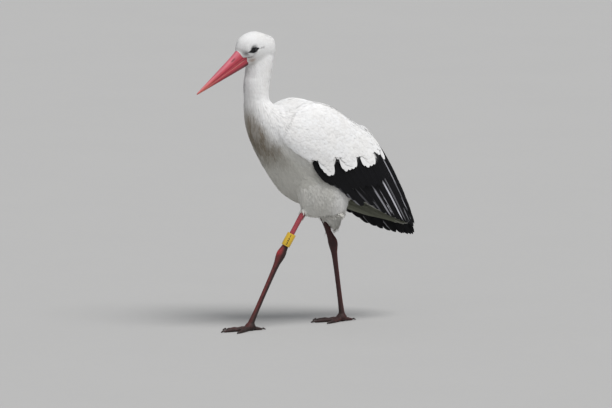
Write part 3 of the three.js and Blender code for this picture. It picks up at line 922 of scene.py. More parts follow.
def bladeArrays(bm):
    bmesh.ops.triangulate(bm, faces=bm.faces)
    bmesh.ops.recalc_face_normals(bm, faces=bm.faces)
    bm.verts.index_update()
    corners = np.array([v.co[:] for v in bm.verts])
    triangles = np.array([[v.index for v in f.verts] for f in bm.faces])
    bm.free()
    return corners, triangles


def faceTowards(bm, way):
    bmesh.ops.recalc_face_normals(bm, faces=bm.faces)
    if sum(face.normal.dot(way) for face in bm.faces) < 0:
        bmesh.ops.reverse_faces(bm, faces=bm.faces)


# A small blade of three sides: its corners as shares of length and half width, and its triangles.
def vaneBlade(shape):
    rows = len(shape["along"]) - 1

    def cornerAt(u, v):
        column, row = round(u * 3) % 3, round(v * rows)
        half = shape["half"][row]
        crown = shape["crown"] * min(half * 2, 1) * (column == 1)
        return (-half, 0, half)[column], shape["along"][row], crown

    bm = gridOf(3, rows, cornerAt)
    mergePoints(bm, 1e-5)
    fillHoles(bm)
    return bladeArrays(bm)


# A large feather: two webs that arch down from a raised shaft, with a thickness.
def quillBlade(shape):
    rows = len(shape["along"]) - 1

    def cornerAt(u, v):
        across, row = quillColumns[round(u * 6)], round(v * rows)
        half, along = shape["half"][row], shape["along"][row]
        lift = 0.035 * (1 - 0.8 * along) * (across == 0) - shape["camber"] * across**2 * half
        return across * half + shape["shaft"] * (1 - abs(across)) * half, along, lift

    bm = gridOf(6, rows, cornerAt)
    faceTowards(bm, Vector((0, 0, 1)))
    bmesh.ops.solidify(bm, geom=bm.faces[:], thickness=shape["thick"])
    return bladeArrays(bm)


blades = {kind: vaneBlade(shape) for kind, shape in vaneShapes.items()}
blades.update({kind: quillBlade(shape) for kind, shape in quillShapes.items()})


def meshFromArrays(name, points, triangles):
    mesh = bpy.data.meshes.new(name)
    mesh.vertices.add(len(points))
    mesh.vertices.foreach_set("co", points.astype(np.float32).ravel())
    mesh.loops.add(len(triangles) * 3)
    mesh.loops.foreach_set("vertex_index", triangles.astype(np.int32).ravel())
    mesh.polygons.add(len(triangles))
    mesh.polygons.foreach_set("loop_start", np.arange(0, len(triangles) * 3, 3, dtype=np.int32))
    mesh.update(calc_edges=True)
    mesh.shade_smooth()
    return mesh


def writeMap(mesh, name, corners, triangles):
    layer = mesh.uv_layers.new(name=name)
    layer.uv.foreach_set("vector", corners[triangles.ravel()].astype(np.float32).ravel())


# Lays one blade at each root. A blade runs through three points over the skin: root, middle and tip.
def layVanes(
    name, kind, roots, material="whitePlumage", slot="white_feathers", replaced=(), mirrored=False
):
    corners, triangles = blades[kind]
    count = len(roots["root"])
    across, along, height = corners.T
    facing = -1 if mirrored else 1
    s = along[None, :, None]
    root, middle, tip = (roots[k][:, None, :] for k in ("root", "middle", "tip"))
    centre = root * (1 - s) * (1 - 2 * s) + middle * 4 * s * (1 - s) + tip * s * (2 * s - 1)
    tangent = unit(root * (4 * s - 3) + middle * (4 - 8 * s) + tip * (4 * s - 1))
    upright = unit(roots["up"][:, None, :] * (1 - s) + roots["upTip"][:, None, :] * s)
    side = unit(np.cross(tangent, upright)) * facing
    upright = unit(np.cross(side, tangent)) * facing
    half = roots["half"][:, None, None]
    points = centre + side * (across[None, :, None] * half) + upright * (height[None, :, None] * half)
    faces = triangles[None, :, ::facing] + (np.arange(count) * len(corners))[:, None, None]
    faces = faces.reshape(-1, 3)
    mesh = meshFromArrays(name, points.reshape(-1, 3), faces)
    patch = np.stack([across * 0.5, along - 0.5], axis=1)[None] * unwrapPlan["patch"]
    writeMap(mesh, "OFBake", np.clip(roots["map"][:, None, :] + patch, 0.001, 0.999).reshape(-1, 2), faces)
    writeMap(mesh, "vane", np.tile(np.stack([across * 0.5 + 0.5, along], axis=1), (count, 1)), faces)
    writeTint(mesh, np.repeat(roots["tint"], len(corners), axis=0))
    if "pale" in roots:
        writeFloat(mesh, "pale", np.repeat(roots["pale"], len(corners)))
    mesh.set_sharp_from_angle(angle=math.radians(70 if kind in vaneShapes else 50))
    return addObject(name, mesh, material, replaced)


# The lie of the coat. Each row is a guide: forward, left and up, the way the feathers point, then their
# length, half width and how far the tip stands off the skin, in millimetres. Rows off the middle serve both
# sides of the body, the wings and the tail.
bodyGuides = [
    (189, 0, 728, -0.2, 0, 1, 4, 1.1, 1.6),
    (180, 14, 716, -0.8, 0.2, 0.5, 4, 1.0, 1.5),
    (175, 0, 765, -0.75, 0, 0.6, 6, 1.4, 2.4),
    (130, 0, 783, -1, 0, 0, 9, 1.7, 4.8),
    (112, 0, 780, -0.9, 0, -0.3, 10, 1.8, 5.6),
    (95, 0, 770, -0.6, 0, -0.8, 10, 1.9, 5.0),
    (76, 0, 730, 0.05, 0, -1, 13, 2.1, 3.3),
    (152, 30, 753, -1, 0, 0.1, 5, 1.2, 2.2),
    (126, 36, 730, -1, 0, -0.35, 7, 1.5, 2.6),
    (148, 31, 712, -0.8, 0, -0.6, 6, 1.3, 2.4),
    (165, 16, 697, -0.7, 0, -0.7, 5, 1.2, 2.0),
    (158, 0, 684, -0.25, 0, -1, 8, 1.5, 2.7),
    (105, 34, 700, -0.4, 0, -0.9, 12, 2.0, 3.3),
    (163, 0, 655, 0, 0, -1, 18, 2.1, 3.7),
    (125, 33, 650, 0, 0, -1, 18, 2.2, 3.7),
    (88, 0, 650, 0, 0, -1, 18, 2.2, 3.7),
    (72, 0, 604, -0.8, 0, -0.6, 21, 3.4, 4.1),
    (100, 40, 605, -0.4, 0, -0.9, 22, 3.2, 4.3),
    (160, 0, 595, 0, 0, -1, 28, 2.5, 4.8),
    (130, 48, 585, -0.05, 0, -1, 28, 2.8, 4.8),
    (156, 0, 540, -0.18, 0, -1, 33, 2.8, 5.4),
    (135, 52, 520, -0.3, 0, -1, 32, 3.1, 5.2),
    (132, 0, 470, -0.45, 0, -0.9, 32, 3.0, 5.2),
    (92, 0, 410, -0.7, 0, -0.7, 28, 3.2, 5.0),
    (45, 0, 360, -0.9, 0, -0.4, 26, 3.2, 4.8),
    (-20, 0, 318, -1, 0, -0.12, 25, 3.2, 4.8),
    (-80, 0, 308, -1, 0, -0.2, 27, 3.4, 5.2),
    (-138, 0, 322, -0.95, 0, -0.35, 33, 4.0, 5.4),
    (-170, 0, 345, -0.9, 0, -0.5, 33, 4.0, 5.0),
    (80, 72, 500, -0.5, 0, -0.85, 27, 3.6, 5.0),
    (60, 70, 430, -0.65, 0, -0.75, 26, 3.6, 5.0),
    (20, 80, 400, -0.8, 0, -0.6, 25, 3.6, 4.8),
    (-40, 88, 420, -0.85, 0, -0.5, 25, 3.8, 4.8),
    (-110, 70, 360, -0.8, 0, -0.55, 27, 4.0, 5.0),
    (40, 0, 598, -1, 0, -0.05, 23, 5.0, 4.5),
    (-20, 0, 596, -1, 0, -0.2, 26, 6.0, 4.5),
    (-80, 0, 556, -0.85, 0, -0.55, 28, 6.5, 4.5),
    (-150, 0, 472, -0.7, 0, -0.7, 31, 6.5, 4.5),
    (-190, 0, 410, -0.7, 0, -0.7, 33, 6.5, 4.1),
]
thighGuides = {
    "left": [
        (-30, 85, 380, -0.25, 0, -1, 28, 3.2, 5.0),
        (30, 60, 360, 0.0, 0, -1, 24, 3.0, 4.6),
        (15, 52, 312, 0.15, 0, -1, 15, 2.6, 3.5),
        (-30, 60, 320, -0.1, 0, -1, 24, 3.0, 5.0),
        (-80, 60, 330, -0.35, 0, -1, 34, 3.4, 4.6),
        (-40, 46, 290, -0.1, 0, -1, 18, 2.8, 3.5),
        (-78, 45, 296, -0.25, 0, -1, 36, 3.2, 3.6),
        (-100, 50, 320, -0.3, 0, -1, 38, 3.4, 4.0),
    ],
    "right": [
        (-40, -85, 380, -0.3, 0, -1, 28, 3.2, 7.5),
        (0, -60, 350, -0.2, 0, -1, 26, 3.0, 7.0),
        (-50, -55, 310, -0.3, 0, -1, 26, 3.0, 7.0),
        (-120, -46, 320, -0.25, 0, -1, 36, 3.4, 8.5),
        (-105, -36, 270, -0.15, 0, -1, 32, 3.0, 7.5),
        (-78, -34, 285, -0.2, 0, -1, 20, 2.6, 5.5),
    ],
}
wingGuides = [
    (92, 76, 520, -0.6, 0, -0.75, 15, 4.2, 3.2),
    (60, 60, 572, -0.9, 0, -0.35, 18, 5.0, 3.4),
    (50, 92, 500, -0.75, 0, -0.65, 19, 5.4, 3.6),
    (40, 92, 460, -0.8, 0, -0.55, 19, 5.4, 3.6),
    (0, 95, 520, -0.85, 0, -0.55, 24, 6.4, 4.0),
    (0, 50, 588, -0.95, 0, -0.3, 26, 6.6, 4.0),
    (-20, 100, 440, -0.75, 0, -0.7, 26, 6.6, 4.2),
    (-60, 95, 490, -0.78, 0, -0.62, 30, 7.4, 4.4),
    (-60, 38, 577, -0.88, 0, -0.5, 34, 7.8, 4.4),
    (-120, 78, 470, -0.68, 0, -0.72, 34, 8.2, 4.6),
    (-130, 26, 540, -0.75, 0, -0.65, 40, 8.4, 4.6),
    (-190, 45, 470, -0.58, 0, -0.8, 38, 8.6, 4.6),
    (-215, 20, 460, -0.48, 0, -0.87, 42, 8.8, 4.6),
]
tailGuides = [
    (-180, 0, 395, -0.72, 0, -0.7, 48, 7.0, 4.5),
    (-240, 20, 335, -0.75, 0, -0.66, 55, 7.5, 3.5),
    (-150, 0, 320, -0.9, 0, -0.4, 50, 6.0, 5.0),
    (-210, 20, 300, -0.9, 0, -0.38, 50, 6.5, 4.0),
    (-260, 20, 270, -0.92, 0, -0.3, 40, 6.5, 2.0),
]


sharedGuides = 14  # the last body guides, which serve the top of the thighs too


def guideTable(rows, mirror=True):
    table = []
    for forward, left, up, ahead, aside, rise, *sizes in rows:
        for side in ((1, -1) if mirror and left else (1,)):
            way = Vector((side * aside, -ahead, rise)).normalized()
            table.append([*spot(forward, side * left, up), *way, *(size / 1000 for size in sizes)])
    return np.array(table)


guideTables = {
    "body": guideTable(bodyGuides), "wing": guideTable(wingGuides), "tail": guideTable(tailGuides),
}
thighTables = [guideTable(thighGuides[side], False) for side in sides]
guideTables["thigh"] = np.vstack([guideTables["body"][-sharedGuides:], *thighTables])


guideSoftness = 0.008  # metres within which a guide is about as strong as at its own place
seeds = {"scatter": 100, "comb": 200, "wing": 300, "tail": 77, "underTail": 78}
scatterPlan = {"tries": 2.2, "shift": 7.013, "primes": (73856093, 19349663, 83492791)}


def readGuides(table, points):
    gaps = np.sum((points[:, None, :] - table[None, :, :3]) ** 2, axis=2)
    weight = 1 / (gaps + guideSoftness**2) ** 2
    weight /= weight.sum(axis=1, keepdims=True)
    return weight @ table[:, 3:]


# Scatters roots over the skin's triangles, at most one to each small cell.
def scatterRoots(keep, cell, seed):
    mesh = skin.data
    mesh.calc_loop_triangles()
    triangles = np.empty(len(mesh.loop_triangles) * 3, np.int32)
    mesh.loop_triangles.foreach_get("vertices", triangles)
    triangles = triangles.reshape(-1, 3)
    triangles = triangles[keep[triangles].all(axis=1)]
    points, normals = coordsOf(mesh), coordsOf(mesh, "normal")
    a, b, c = (points[triangles[:, k]] for k in range(3))
    area = np.linalg.norm(np.cross(b - a, c - a), axis=1) / 2
    rng = np.random.default_rng(seed)
    wanted = int(area.sum() / cell**2 * scatterPlan["tries"])
    corner = triangles[rng.choice(len(triangles), wanted, p=area / area.sum())]
    u, v = rng.random(wanted), rng.random(wanted)
    flip = u + v > 1
    u[flip], v[flip] = 1 - u[flip], 1 - v[flip]
    w = 1 - u - v
    places, ups = (
        data[corner[:, 0]] * w[:, None] + data[corner[:, 1]] * u[:, None] + data[corner[:, 2]] * v[:, None]
        for data in (points, normals)
    )
    cells = np.floor((places + scatterPlan["shift"]) / cell).astype(np.int64)
    first, second, third = (cells[:, k] * prime for k, prime in enumerate(scatterPlan["primes"]))
    key = first ^ second ^ third
    first = np.sort(np.unique(key, return_index=True)[1])
    return places[first], unit(ups)[first]


comb = {
    "sizeJitter": (0.12, 0.1, 0.12), "mostJitter": (0.4, 0.4, 0.3), "liftRoot": 0.15, "liftMiddle": 0.62,
    "freeGap": (0.18, 0.25), "hangBehind": (25, 70), "leastTurn": 0.35, "face": (0.25, 14, 0.3),
    "faceReach": 0.075, "faceFrom": -20,
}


# Turns roots on the skin into blade points: middle and tip follow the skin, unless they hang free of it.
def combRoots(places, ups, table, rng, spread, hang):
    read = readGuides(table, places)
    way = read[:, :3]
    way = unit(way - ups * np.sum(way * ups, axis=1)[:, None])
    way = unit(way + np.cross(ups, way) * rng.normal(0, spread, len(places))[:, None])
    length, half, rise = (
        read[:, 3 + k] * (1 + rng.normal(0, jitter, len(places)).clip(-most, most))
        for k, (jitter, most) in enumerate(zip(comb["sizeJitter"], comb["mostJitter"]))
    )
    along, _, above = headParts(places)
    least, reach, low = comb["face"]
    near = np.clip(least + faceGap(along, above) / reach, low, 1)
    beside = np.linalg.norm(places - np.array(headFrame.translation), axis=1) < comb["faceReach"]
    near = np.where(beside & (along > comb["faceFrom"]), near, 1)  # shorter by the bill
    length, rise, half = length * near, rise * near, half * (0.4 + 0.6 * near)
    middle, tip = places + way * length[:, None] * 0.5, places + way * length[:, None]
    middle, tip = middle + ups * (rise * comb["liftMiddle"])[:, None], tip + ups * rise[:, None]
    upTip, bent = ups.copy(), np.ones(len(places))
    hanging = hang * (0.5 + 0.6 * smooth(-bodyParts(places)[0], *comb["hangBehind"]))
    for i in range(len(places)):
        for store, share, high in ((middle, 0.5, comb["liftMiddle"]), (tip, 1.0, 1.0)):
            free = Vector(places[i] + way[i] * (length[i] * share))
            at, normal, _, gap = skinTree.find_nearest(free)
            loose = (gap / length[i] - comb["freeGap"][0]) / comb["freeGap"][1]
            loose = float(hanging[i]) * min(max(loose, 0), 1)
            store[i] = (at + normal * (rise[i] * high)).lerp(Vector(store[i]), loose)
        bent[i] = normal.dot(Vector(ups[i]))
        upTip[i] = normal.lerp(Vector(ups[i]), max(loose, comb["leastTurn"]))
    root = places + ups * (rise * comb["liftRoot"])[:, None]
    found = {"root": root, "middle": middle, "tip": tip, "up": ups, "upTip": unit(upTip), "half": half}
    return {**found, "length": length, "bent": bent}


# The dark bare skin round each eye: points of its edge, along and above on the head, in millimetres.
eyePlan = {
    "along": 16.4, "above": 9.2, "left": 30.0, "ball": 5.4, "openLong": 4.8, "openHigh": 3.8, "rim": 0.4,
    "patch": [
        (37.4, 13.6), (31.3, 13.4), (24, 13.7), (18, 14.0), (13, 13.4), (9.3, 11.3), (5.8, 7.8),
        (11.4, 5.6), (17.0, 4.4), (21.8, 3.9), (27, 6.6), (32, 10.4), (35.8, 12.4),
    ],
}
patchPoints = np.array(eyePlan["patch"]) - (eyePlan["along"], eyePlan["above"])
patchTurns = np.arctan2(patchPoints[:, 1], patchPoints[:, 0])
patchOrder = np.argsort(patchTurns)


def patchReach(turn):
    return np.interp(turn, patchTurns[patchOrder], np.hypot(*patchPoints[patchOrder].T), period=2 * math.pi)


def inEyePatch(along, above, margin):
    x, z = along - eyePlan["along"], above - eyePlan["above"]
    return np.hypot(x, z) < patchReach(np.arctan2(z, x)) + margin


def pick(roots, chosen):
    return {key: value[chosen] for key, value in roots.items()}


# The coat of each zone: the cell that holds one root, the kind of vane, its half width and rise as shares of
# the guides', how far its way varies and how freely it hangs.
coats = {
    "head": {"cell": 1.25, "kind": "soft", "half": 0.62, "rise": 0.52, "spread": 0.08, "hang": 0.0},
    "neck": {"cell": 1.95, "kind": "lance", "half": 0.64, "rise": 0.54, "spread": 0.07, "hang": 0.0},
    "trunk": {"cell": 2.35, "kind": "lance", "half": 0.62, "rise": 0.68, "spread": 0.12, "hang": 0.2},
    "thigh": {"cell": 2.2, "kind": "lance", "half": 0.6, "rise": 0.8, "spread": 0.09, "hang": 0.55},
    "tail": {"cell": 5.0, "kind": "broad", "half": 1.0, "rise": 0.75, "spread": 0.08, "hang": 0.0},
    "wing": {"cell": 4.1, "kind": "broad", "half": 0.78, "rise": 0.55, "spread": 0.08, "hang": 0.0},
}
coatLimits = {
    "triangles": 195000, "tintJitter": 0.04, "brightest": 0.86, "reached": 0.7,
    "bent": {"soft": -0.1, "lance": -0.1, "broad": 0.72}, "vaneWide": 0.7, "quickCell": 1.9,
    "wingBorder": 4.5, "innerWing": 0.4, "innerSide": -0.2, "flightStart": 0.001, "flightReach": 0.02,
    "besideBill": 1.1, "billMargin": 0.35, "faceMargin": 1.2, "faceFree": 7, "eyeMargin": 0.3,
    "eyeTipMargin": -0.4,
}


# Where roots may stand: not under the flight feathers, in the bill or on the bare skin round the eye.
def wantedRoots(zone, places, ups, rng):
    wanted = np.ones(len(places), bool)
    if zone in ("trunk", "thigh"):
        start, reach = coatLimits["flightStart"], coatLimits["flightReach"]
        for tree in flightTrees.values():
            for i, (place, up) in enumerate(zip(places, ups)):
                hit = tree.ray_cast(Vector(place) + Vector(up) * start, Vector(up), reach)[0]
                wanted[i] &= hit is None
    if zone == "head":
        along, above, _, _, reach, bill = roundBill(places)
        gap = faceGap(along, above)
        wanted &= (gap > coatLimits["faceMargin"]) & ~inEyePatch(along, above, coatLimits["eyeMargin"])
        outside = reach > bill * coatLimits["besideBill"] + coatLimits["billMargin"]
        wanted &= outside | (along < billPlan["start"]) | (gap > coatLimits["faceFree"])
    if zone == "wing":
        outward = ups[:, 0] * np.sign(places[:, 0]) > coatLimits["innerSide"]
        wanted &= outward | (rng.random(len(places)) < coatLimits["innerWing"])
    return wanted


# Which combed vanes stay: not folded or squashed, and clear of the eye and of the wing's dark feathers.
def keptVanes(zone, kind, roots):
    reached = np.linalg.norm(roots["tip"] - roots["root"], axis=1) / roots["length"]
    kept = (roots["bent"] > coatLimits["bent"][kind]) & (reached > coatLimits["reached"])
    if zone == "head":
        along, _, above = headParts(roots["tip"])
        kept &= ~inEyePatch(along, above, coatLimits["eyeTipMargin"])
    if zone == "wing":
        sideways = np.outer(roots["half"] * coatLimits["vaneWide"], [0, 1, 0])
        ends = [roots[end] + sideways * way for end in ("tip", "middle", "root") for way in (-1, 0, 1)]
        kept &= np.min([aboveBorder(end) for end in ends], axis=0) > coatLimits["wingBorder"]
    return kept


def growCoat(zone, plan, seed):
    name, kind = "coat" + zone.capitalize(), plan["kind"]
    density = 1.0
    here = skinRegion == regionNames.index(zone)
    places, ups = scatterRoots(here, plan["cell"] * density / 1000, seeds["scatter"] + seed)
    rng = np.random.default_rng(seeds["comb"] + seed)
    wanted = wantedRoots(zone, places, ups, rng)
    table = guideTables.get(zone, guideTables["body"]) * ([1] * 7 + [plan["half"], plan["rise"]])
    roots = combRoots(places[wanted], ups[wanted], table, rng, plan["spread"], plan["hang"])
    roots = pick(roots, keptVanes(zone, kind, roots))
    base = coatColour(roots["root"])
    if zone in zoneShades:
        base = shadeZone(base, roots["root"], zone)
    count = len(base)
    tint = base * (1 + rng.normal(0, coatLimits["tintJitter"], count))[:, None]
    roots["tint"] = np.clip(tint, 0, coatLimits["brightest"])
    roots["map"] = unwrapAt(roots["root"])
    triangles = len(blades[kind][1])
    pieces = math.ceil(count / (coatLimits["triangles"] // triangles))
    for k in range(pieces):
        part = name if pieces == 1 else f"{name}_{k + 1}"
        layVanes(part, kind, pick(roots, np.arange(count) % pieces == k))
    print(name, count, "vanes,", count * triangles, "triangles")


for seed, (zone, plan) in enumerate(coats.items()):
    growCoat(zone, plan, seed)

# How far out each packed wing's surface is, over a grid of its side view, evened out a little.
reachGrid = {
    "forward": (-380, 130), "up": (180, 640), "step": 6, "rounds": 3, "slopeSpan": 12, "steepest": 0.9,
}


def reachTable(side):
    sign, tree = sides[side], wingTrees[side]
    columns, rows = (np.arange(*reachGrid[axis], float(reachGrid["step"])) for axis in ("forward", "up"))
    table = np.empty((len(columns), len(rows)))
    for i, forward in enumerate(columns):
        for k, up in enumerate(rows):
            hit = tree.ray_cast(spot(forward, sign * 300, up), Vector((-sign, 0, 0)), 0.3)[0]
            table[i, k] = (hit or tree.find_nearest(spot(forward, sign * 60, up))[0]).x
    for _ in range(reachGrid["rounds"]):
        wide = np.pad(table, 1, mode="edge")
        table = (wide[:-2, 1:-1] + wide[2:, 1:-1] + wide[1:-1, :-2] + wide[1:-1, 2:] + 2 * table) / 6
    return table


reachTables = {side: reachTable(side) for side in sides}


def wingReach(side, forward, up):
    step = reachGrid["step"]
    i, k = (forward - reachGrid["forward"][0]) / step, (up - reachGrid["up"][0]) / step
    low, left = int(i), int(k)
    i, k = i - low, k - left
    (a, b), (c, d) = reachTables[side][low : low + 2, left : left + 2]
    return float(a * (1 - i) * (1 - k) + c * i * (1 - k) + b * (1 - i) * k + d * i * k)


# A place on a folded wing in side view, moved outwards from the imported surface, and which way is out.
def wingSpot(side, forward, up, out, flat):
    sign = sides[side]
    sink = float(sinkAt(side, forward, up))
    shift = farReach[side] * float(smooth(wingShare(forward), 0.5, 1))
    up, forward = up - sink, forward - shift
    span, steepest = reachGrid["slopeSpan"], reachGrid["steepest"]
    slopes = []
    for df, du in ((span, 0), (0, span)):
        rise = wingReach(side, forward + df, up + du) - wingReach(side, forward - df, up - du)
        slopes.append(min(max(rise * 1000 / (2 * span), -steepest), steepest) * (1 - flat))
    normal = Vector((1, slopes[0], -slopes[1])).normalized() * sign
    return Vector((wingReach(side, forward, up) + sign * out / 1000, *spot(forward, 0, up)[1:])), normal


# The wing's large feathers in side view: root forward and up, tip forward and up, half width, and for some
# how far they bend and how pale their edge is.
wingFeathers = {
    "secondaries": {
        "rows": [
            (-60, 385, -151, 313, 11.5, 2, 0.3), (-92, 396, -187, 311, 13, 2, 0.1),
            (-112, 398, -206, 299, 13, 2, 0.1), (-130, 398, -225, 288, 13.5, 2, 0.15),
            (-146, 398, -242, 280, 13.5, 2, 0.3), (-160, 399, -257, 273, 13.5, 3, 0.45),
            (-174, 400, -271, 267, 13.5, 3, 0.7), (-186, 403, -285, 261, 13, 3, 0.45),
            (-188, 426, -297, 255, 12.5, 4, 0.9), (-190, 440, -308, 250, 11.5, 4, 0.3),
            (-193, 448, -316, 246, 10.5, 4, 0.7), (-197, 456, -321, 244, 9.5, 4, 0.3),
            (-200, 464, -324, 251, 8, 4, 1.0), (-202, 468, -314, 275, 8, 3, 0.6),
            (-203, 471, -298, 308, 8, 3, 0.3), (-204, 474, -276, 350, 8, 2, 0.6),
        ],
        "kind": "quill", "out": (-10.5, -6.5), "step": 0.4, "tint": "black", "flat": 0.0,
    },
    "primaryCoverts": {
        "rows": [
            (12, 446, -36, 383, 9, -5, 0), (8, 448, -52, 375, 10, -5, 0), (-2, 446, -72, 367, 11, -4, 0.1),
            (-16, 444, -96, 350, 12, -3, 0.1), (-34, 430, -122, 331, 12, 0, 0.2),
        ],
        "kind": "covert", "out": (-6.0, -3.0), "step": 0.3, "tint": "black", "flat": 0.2,
    },
    "greaterCoverts": {
        "rows": [
            (-36, 432, -94, 362, 12), (-54, 434, -112, 361, 12), (-73, 436, -131, 361, 12.5),
            (-92, 440, -150, 361, 12.5), (-112, 446, -170, 362, 12.5), (-134, 452, -190, 362, 13),
            (-160, 456, -207, 362, 13), (-182, 466, -216, 374, 12, 1, 0.1),
            (-192, 474, -222, 392, 10, 1, 0),
        ],
        "kind": "covert", "out": (-5.5, -2.6), "step": 0.15, "tint": "black", "flat": 0.3,
    },
    "underFeathers": {
        "rows": [
            (-60, 410, -112, 336, 12), (-90, 415, -160, 322, 13), (-120, 415, -185, 313, 13),
            (-145, 415, -210, 299, 14), (-165, 416, -234, 286, 14), (-185, 420, -256, 276, 14),
            (-186, 440, -278, 266, 13), (-190, 452, -298, 256, 12), (-194, 460, -310, 252, 10),
            (-196, 466, -262, 350, 13), (0, 440, -56, 378, 11), (-30, 440, -86, 362, 12),
            (-55, 430, -100, 346, 12),
        ],
        "kind": "quill", "out": (-12.0, -9.0), "step": 0.2, "tint": "black", "flat": 0.0,
    },
    "whiteLobes": {
        "rows": [
            (-30, 505, -42, 452, 11), (-112, 500, -132, 442, 11), (-172, 505, -205, 444, 11),
            (8, 486, -16, 418, 8.5), (2, 488, -25, 408, 9.5), (-8, 490, -35, 400, 10.5),
            (-20, 492, -44, 401, 9), (-56, 492, -80, 414, 8), (-62, 494, -88, 408, 9),
            (-76, 496, -99, 411, 10), (-90, 497, -110, 413, 10), (-102, 498, -118, 417, 8),
            (-126, 500, -152, 417, 8), (-134, 502, -164, 412, 10), (-146, 503, -176, 415, 10.5),
            (-158, 504, -186, 418, 9), (-180, 503, -209, 440, 7), (-190, 490, -228, 426, 5.5, 3, 0),
        ],
        "layers": [0, 0, 0, 0, 1, 2, 3, 0, 1, 2, 3, 4, 0, 1, 2, 3, 1, 0],
        "kind": "covert", "out": (-3.4, 0.0), "step": 0.32, "tint": "white", "flat": 0.35,
    },
}


# Large feathers, from rows of root, middle, tip, up, up at the tip, half width and how pale the edge is.
def featherRoots(rows, tint, level, rng, jitter):
    keys = ("root", "middle", "tip", "up", "upTip", "half", "pale")
    roots = {key: np.array([row[k] for row in rows], float) for k, key in enumerate(keys[: len(rows[0])])}
    shade = (level + rng.normal(0, jitter, len(rows)))[:, None]
    roots["tint"] = np.clip(np.array(colours[tint]) * shade, 0, coatLimits["brightest"])
    roots["map"] = unwrapAt(roots["root"])
    return roots


def feathersFrom(side, plan, rng):
    low, high = plan["out"]
    inner = -1 if high < -8 else 1  # the feathers under the others show their other face
    rows = []
    layers = plan.get("layers", range(len(plan["rows"])))
    for layer, (rf, ru, tf, tu, half, *more) in zip(layers, plan["rows"]):
        bend, pale = more or (0, 0)
        rf, ru, tf, tu = (v + rng.normal(0, 1.0) * (side == "right") for v in (rf, ru, tf, tu))
        across = Vector((tu - ru, rf - tf)).normalized()
        mf, mu = (rf + tf) / 2 + across.x * bend, (ru + tu) / 2 + across.y * bend
        lift = layer * plan["step"]
        stops = ((rf, ru, low), (mf, mu, (low + high) / 2), (tf, tu, high))
        (root, up), (middle, upMiddle), (tip, upTip) = (
            wingSpot(side, forward, height, out + lift, plan["flat"]) for forward, height, out in stops
        )
        middle.x = ((root + tip) / 2).x * 0.35 + middle.x * 0.65
        ups = (up + upMiddle) * inner, (upTip + upMiddle) * inner
        rows.append((root, middle, tip, *ups, half / 1000, pale))
    roots = featherRoots(rows, plan["tint"], 1, rng, 0.12 if plan["tint"] == "black" else 0.03)
    roots["up"], roots["upTip"] = unit(roots["up"]), unit(roots["upTip"])
    return roots


for side in sides:
    for kind, plan in wingFeathers.items():
        looks = ("blackFeathers", "black_feathers")
        if plan["tint"] == "white":
            looks = ("whitePlumage", "white_feathers")
        roots = feathersFrom(side, plan, np.random.default_rng(seeds["wing"] + len(kind)))
        replaced = (f"flight_{side}",) if kind == "secondaries" else ()
        layVanes(f"{kind}_{side}", plan["kind"], roots, *looks, replaced, mirrored=side == "right")
print("wing feathers laid")

# The twelve tail feathers, in a shallow fan, coloured with painted shade.
tailPlan = {
    "count": 12, "root": (-172, 356), "tip": (-306, 254), "spread": 19, "half": 10, "sag": 14, "vault": 5,
    "curve": 10, "lean": 0.35, "arch": 0.002, "level": 0.75, "jitter": 0.02,
}


def makeTailFeathers():
    plan = tailPlan
    (rf, ru), (tf, tu) = plan["root"], plan["tip"]
    flatUp = Vector((0, (tu - ru), -(tf - rf))).normalized()
    rows = []
    for k in range(plan["count"]):
        share = (k + 0.5) / plan["count"] * 2 - 1
        left = share * plan["spread"]
        lift = (1 - abs(share)) * plan["vault"] - plan["vault"] / 2
        curve = plan["curve"] * share**2
        root = spot(rf, left * 0.5, ru + lift - plan["sag"] * share**2)
        tip = spot(tf + curve, left, tu + lift + curve * 0.4 - 0.4 * plan["sag"] * share**2)
        up = (flatUp + Vector((share * plan["lean"], 0, 0))).normalized()
        rows.append((root, (root + tip) / 2 + flatUp * plan["arch"], tip, up, up, plan["half"] / 1000))
    roots = featherRoots(
        rows, "paintedShade", plan["level"], np.random.default_rng(seeds["tail"]), plan["jitter"]
    )
    layVanes("tailFeathers", "quill", roots)


# Coverts wrapped round the tail's underside, each layer a little further back, coloured with painted shade
# and a painted olive reflection.
underTail = {
    "count": 13, "turn": 105, "layers": 4, "half": 8.5, "root": (-112, 326), "rootStep": (-34, -11),
    "rootSize": (23, 13), "tip": (-232, 276), "tipStep": (-25, -6.5), "tipSize": (17, 3), "shift": 3,
    "arch": 0.002, "jitter": 0.06,
}


def makeTailCoverts():
    plan = underTail
    rng = np.random.default_rng(seeds["underTail"])
    rows = []
    for layer in range(plan["layers"]):
        for k in range(plan["count"]):
            turn = math.radians(plan["turn"]) * ((k + 0.5 * (layer % 2)) / (plan["count"] - 1) * 2 - 1)
            shift = rng.normal(0, plan["shift"])
            ends = []
            for end in ("root", "tip"):
                forward, up = (plan[end][i] + plan[end + "Step"][i] * layer for i in (0, 1))
                wide, deep = plan[end + "Size"]
                ends.append(spot(forward + shift, wide * math.sin(turn), up - deep * math.cos(turn)))
            root, tip = ends
            up = Vector((math.sin(turn), 0, -math.cos(turn))).normalized()
            rows.append((root, (root + tip) / 2 + up * plan["arch"], tip, up, up, plan["half"] / 1000))
    layVanes("tailCoverts", "covert", featherRoots(rows, "tailShade", 1, rng, plan["jitter"]))


makeTailFeathers()
makeTailCoverts()
print("tail feathers laid")


# Bill
billShape = {
    "around": 52, "along": 110, "gap": 0.35, "flat": 0.76, "crowd": 1.15, "grooveAt": 0.27, "slitAt": 78,
    "slitLong": 7, "slitUp": 0.73, "lowerWide": 0.965,
}


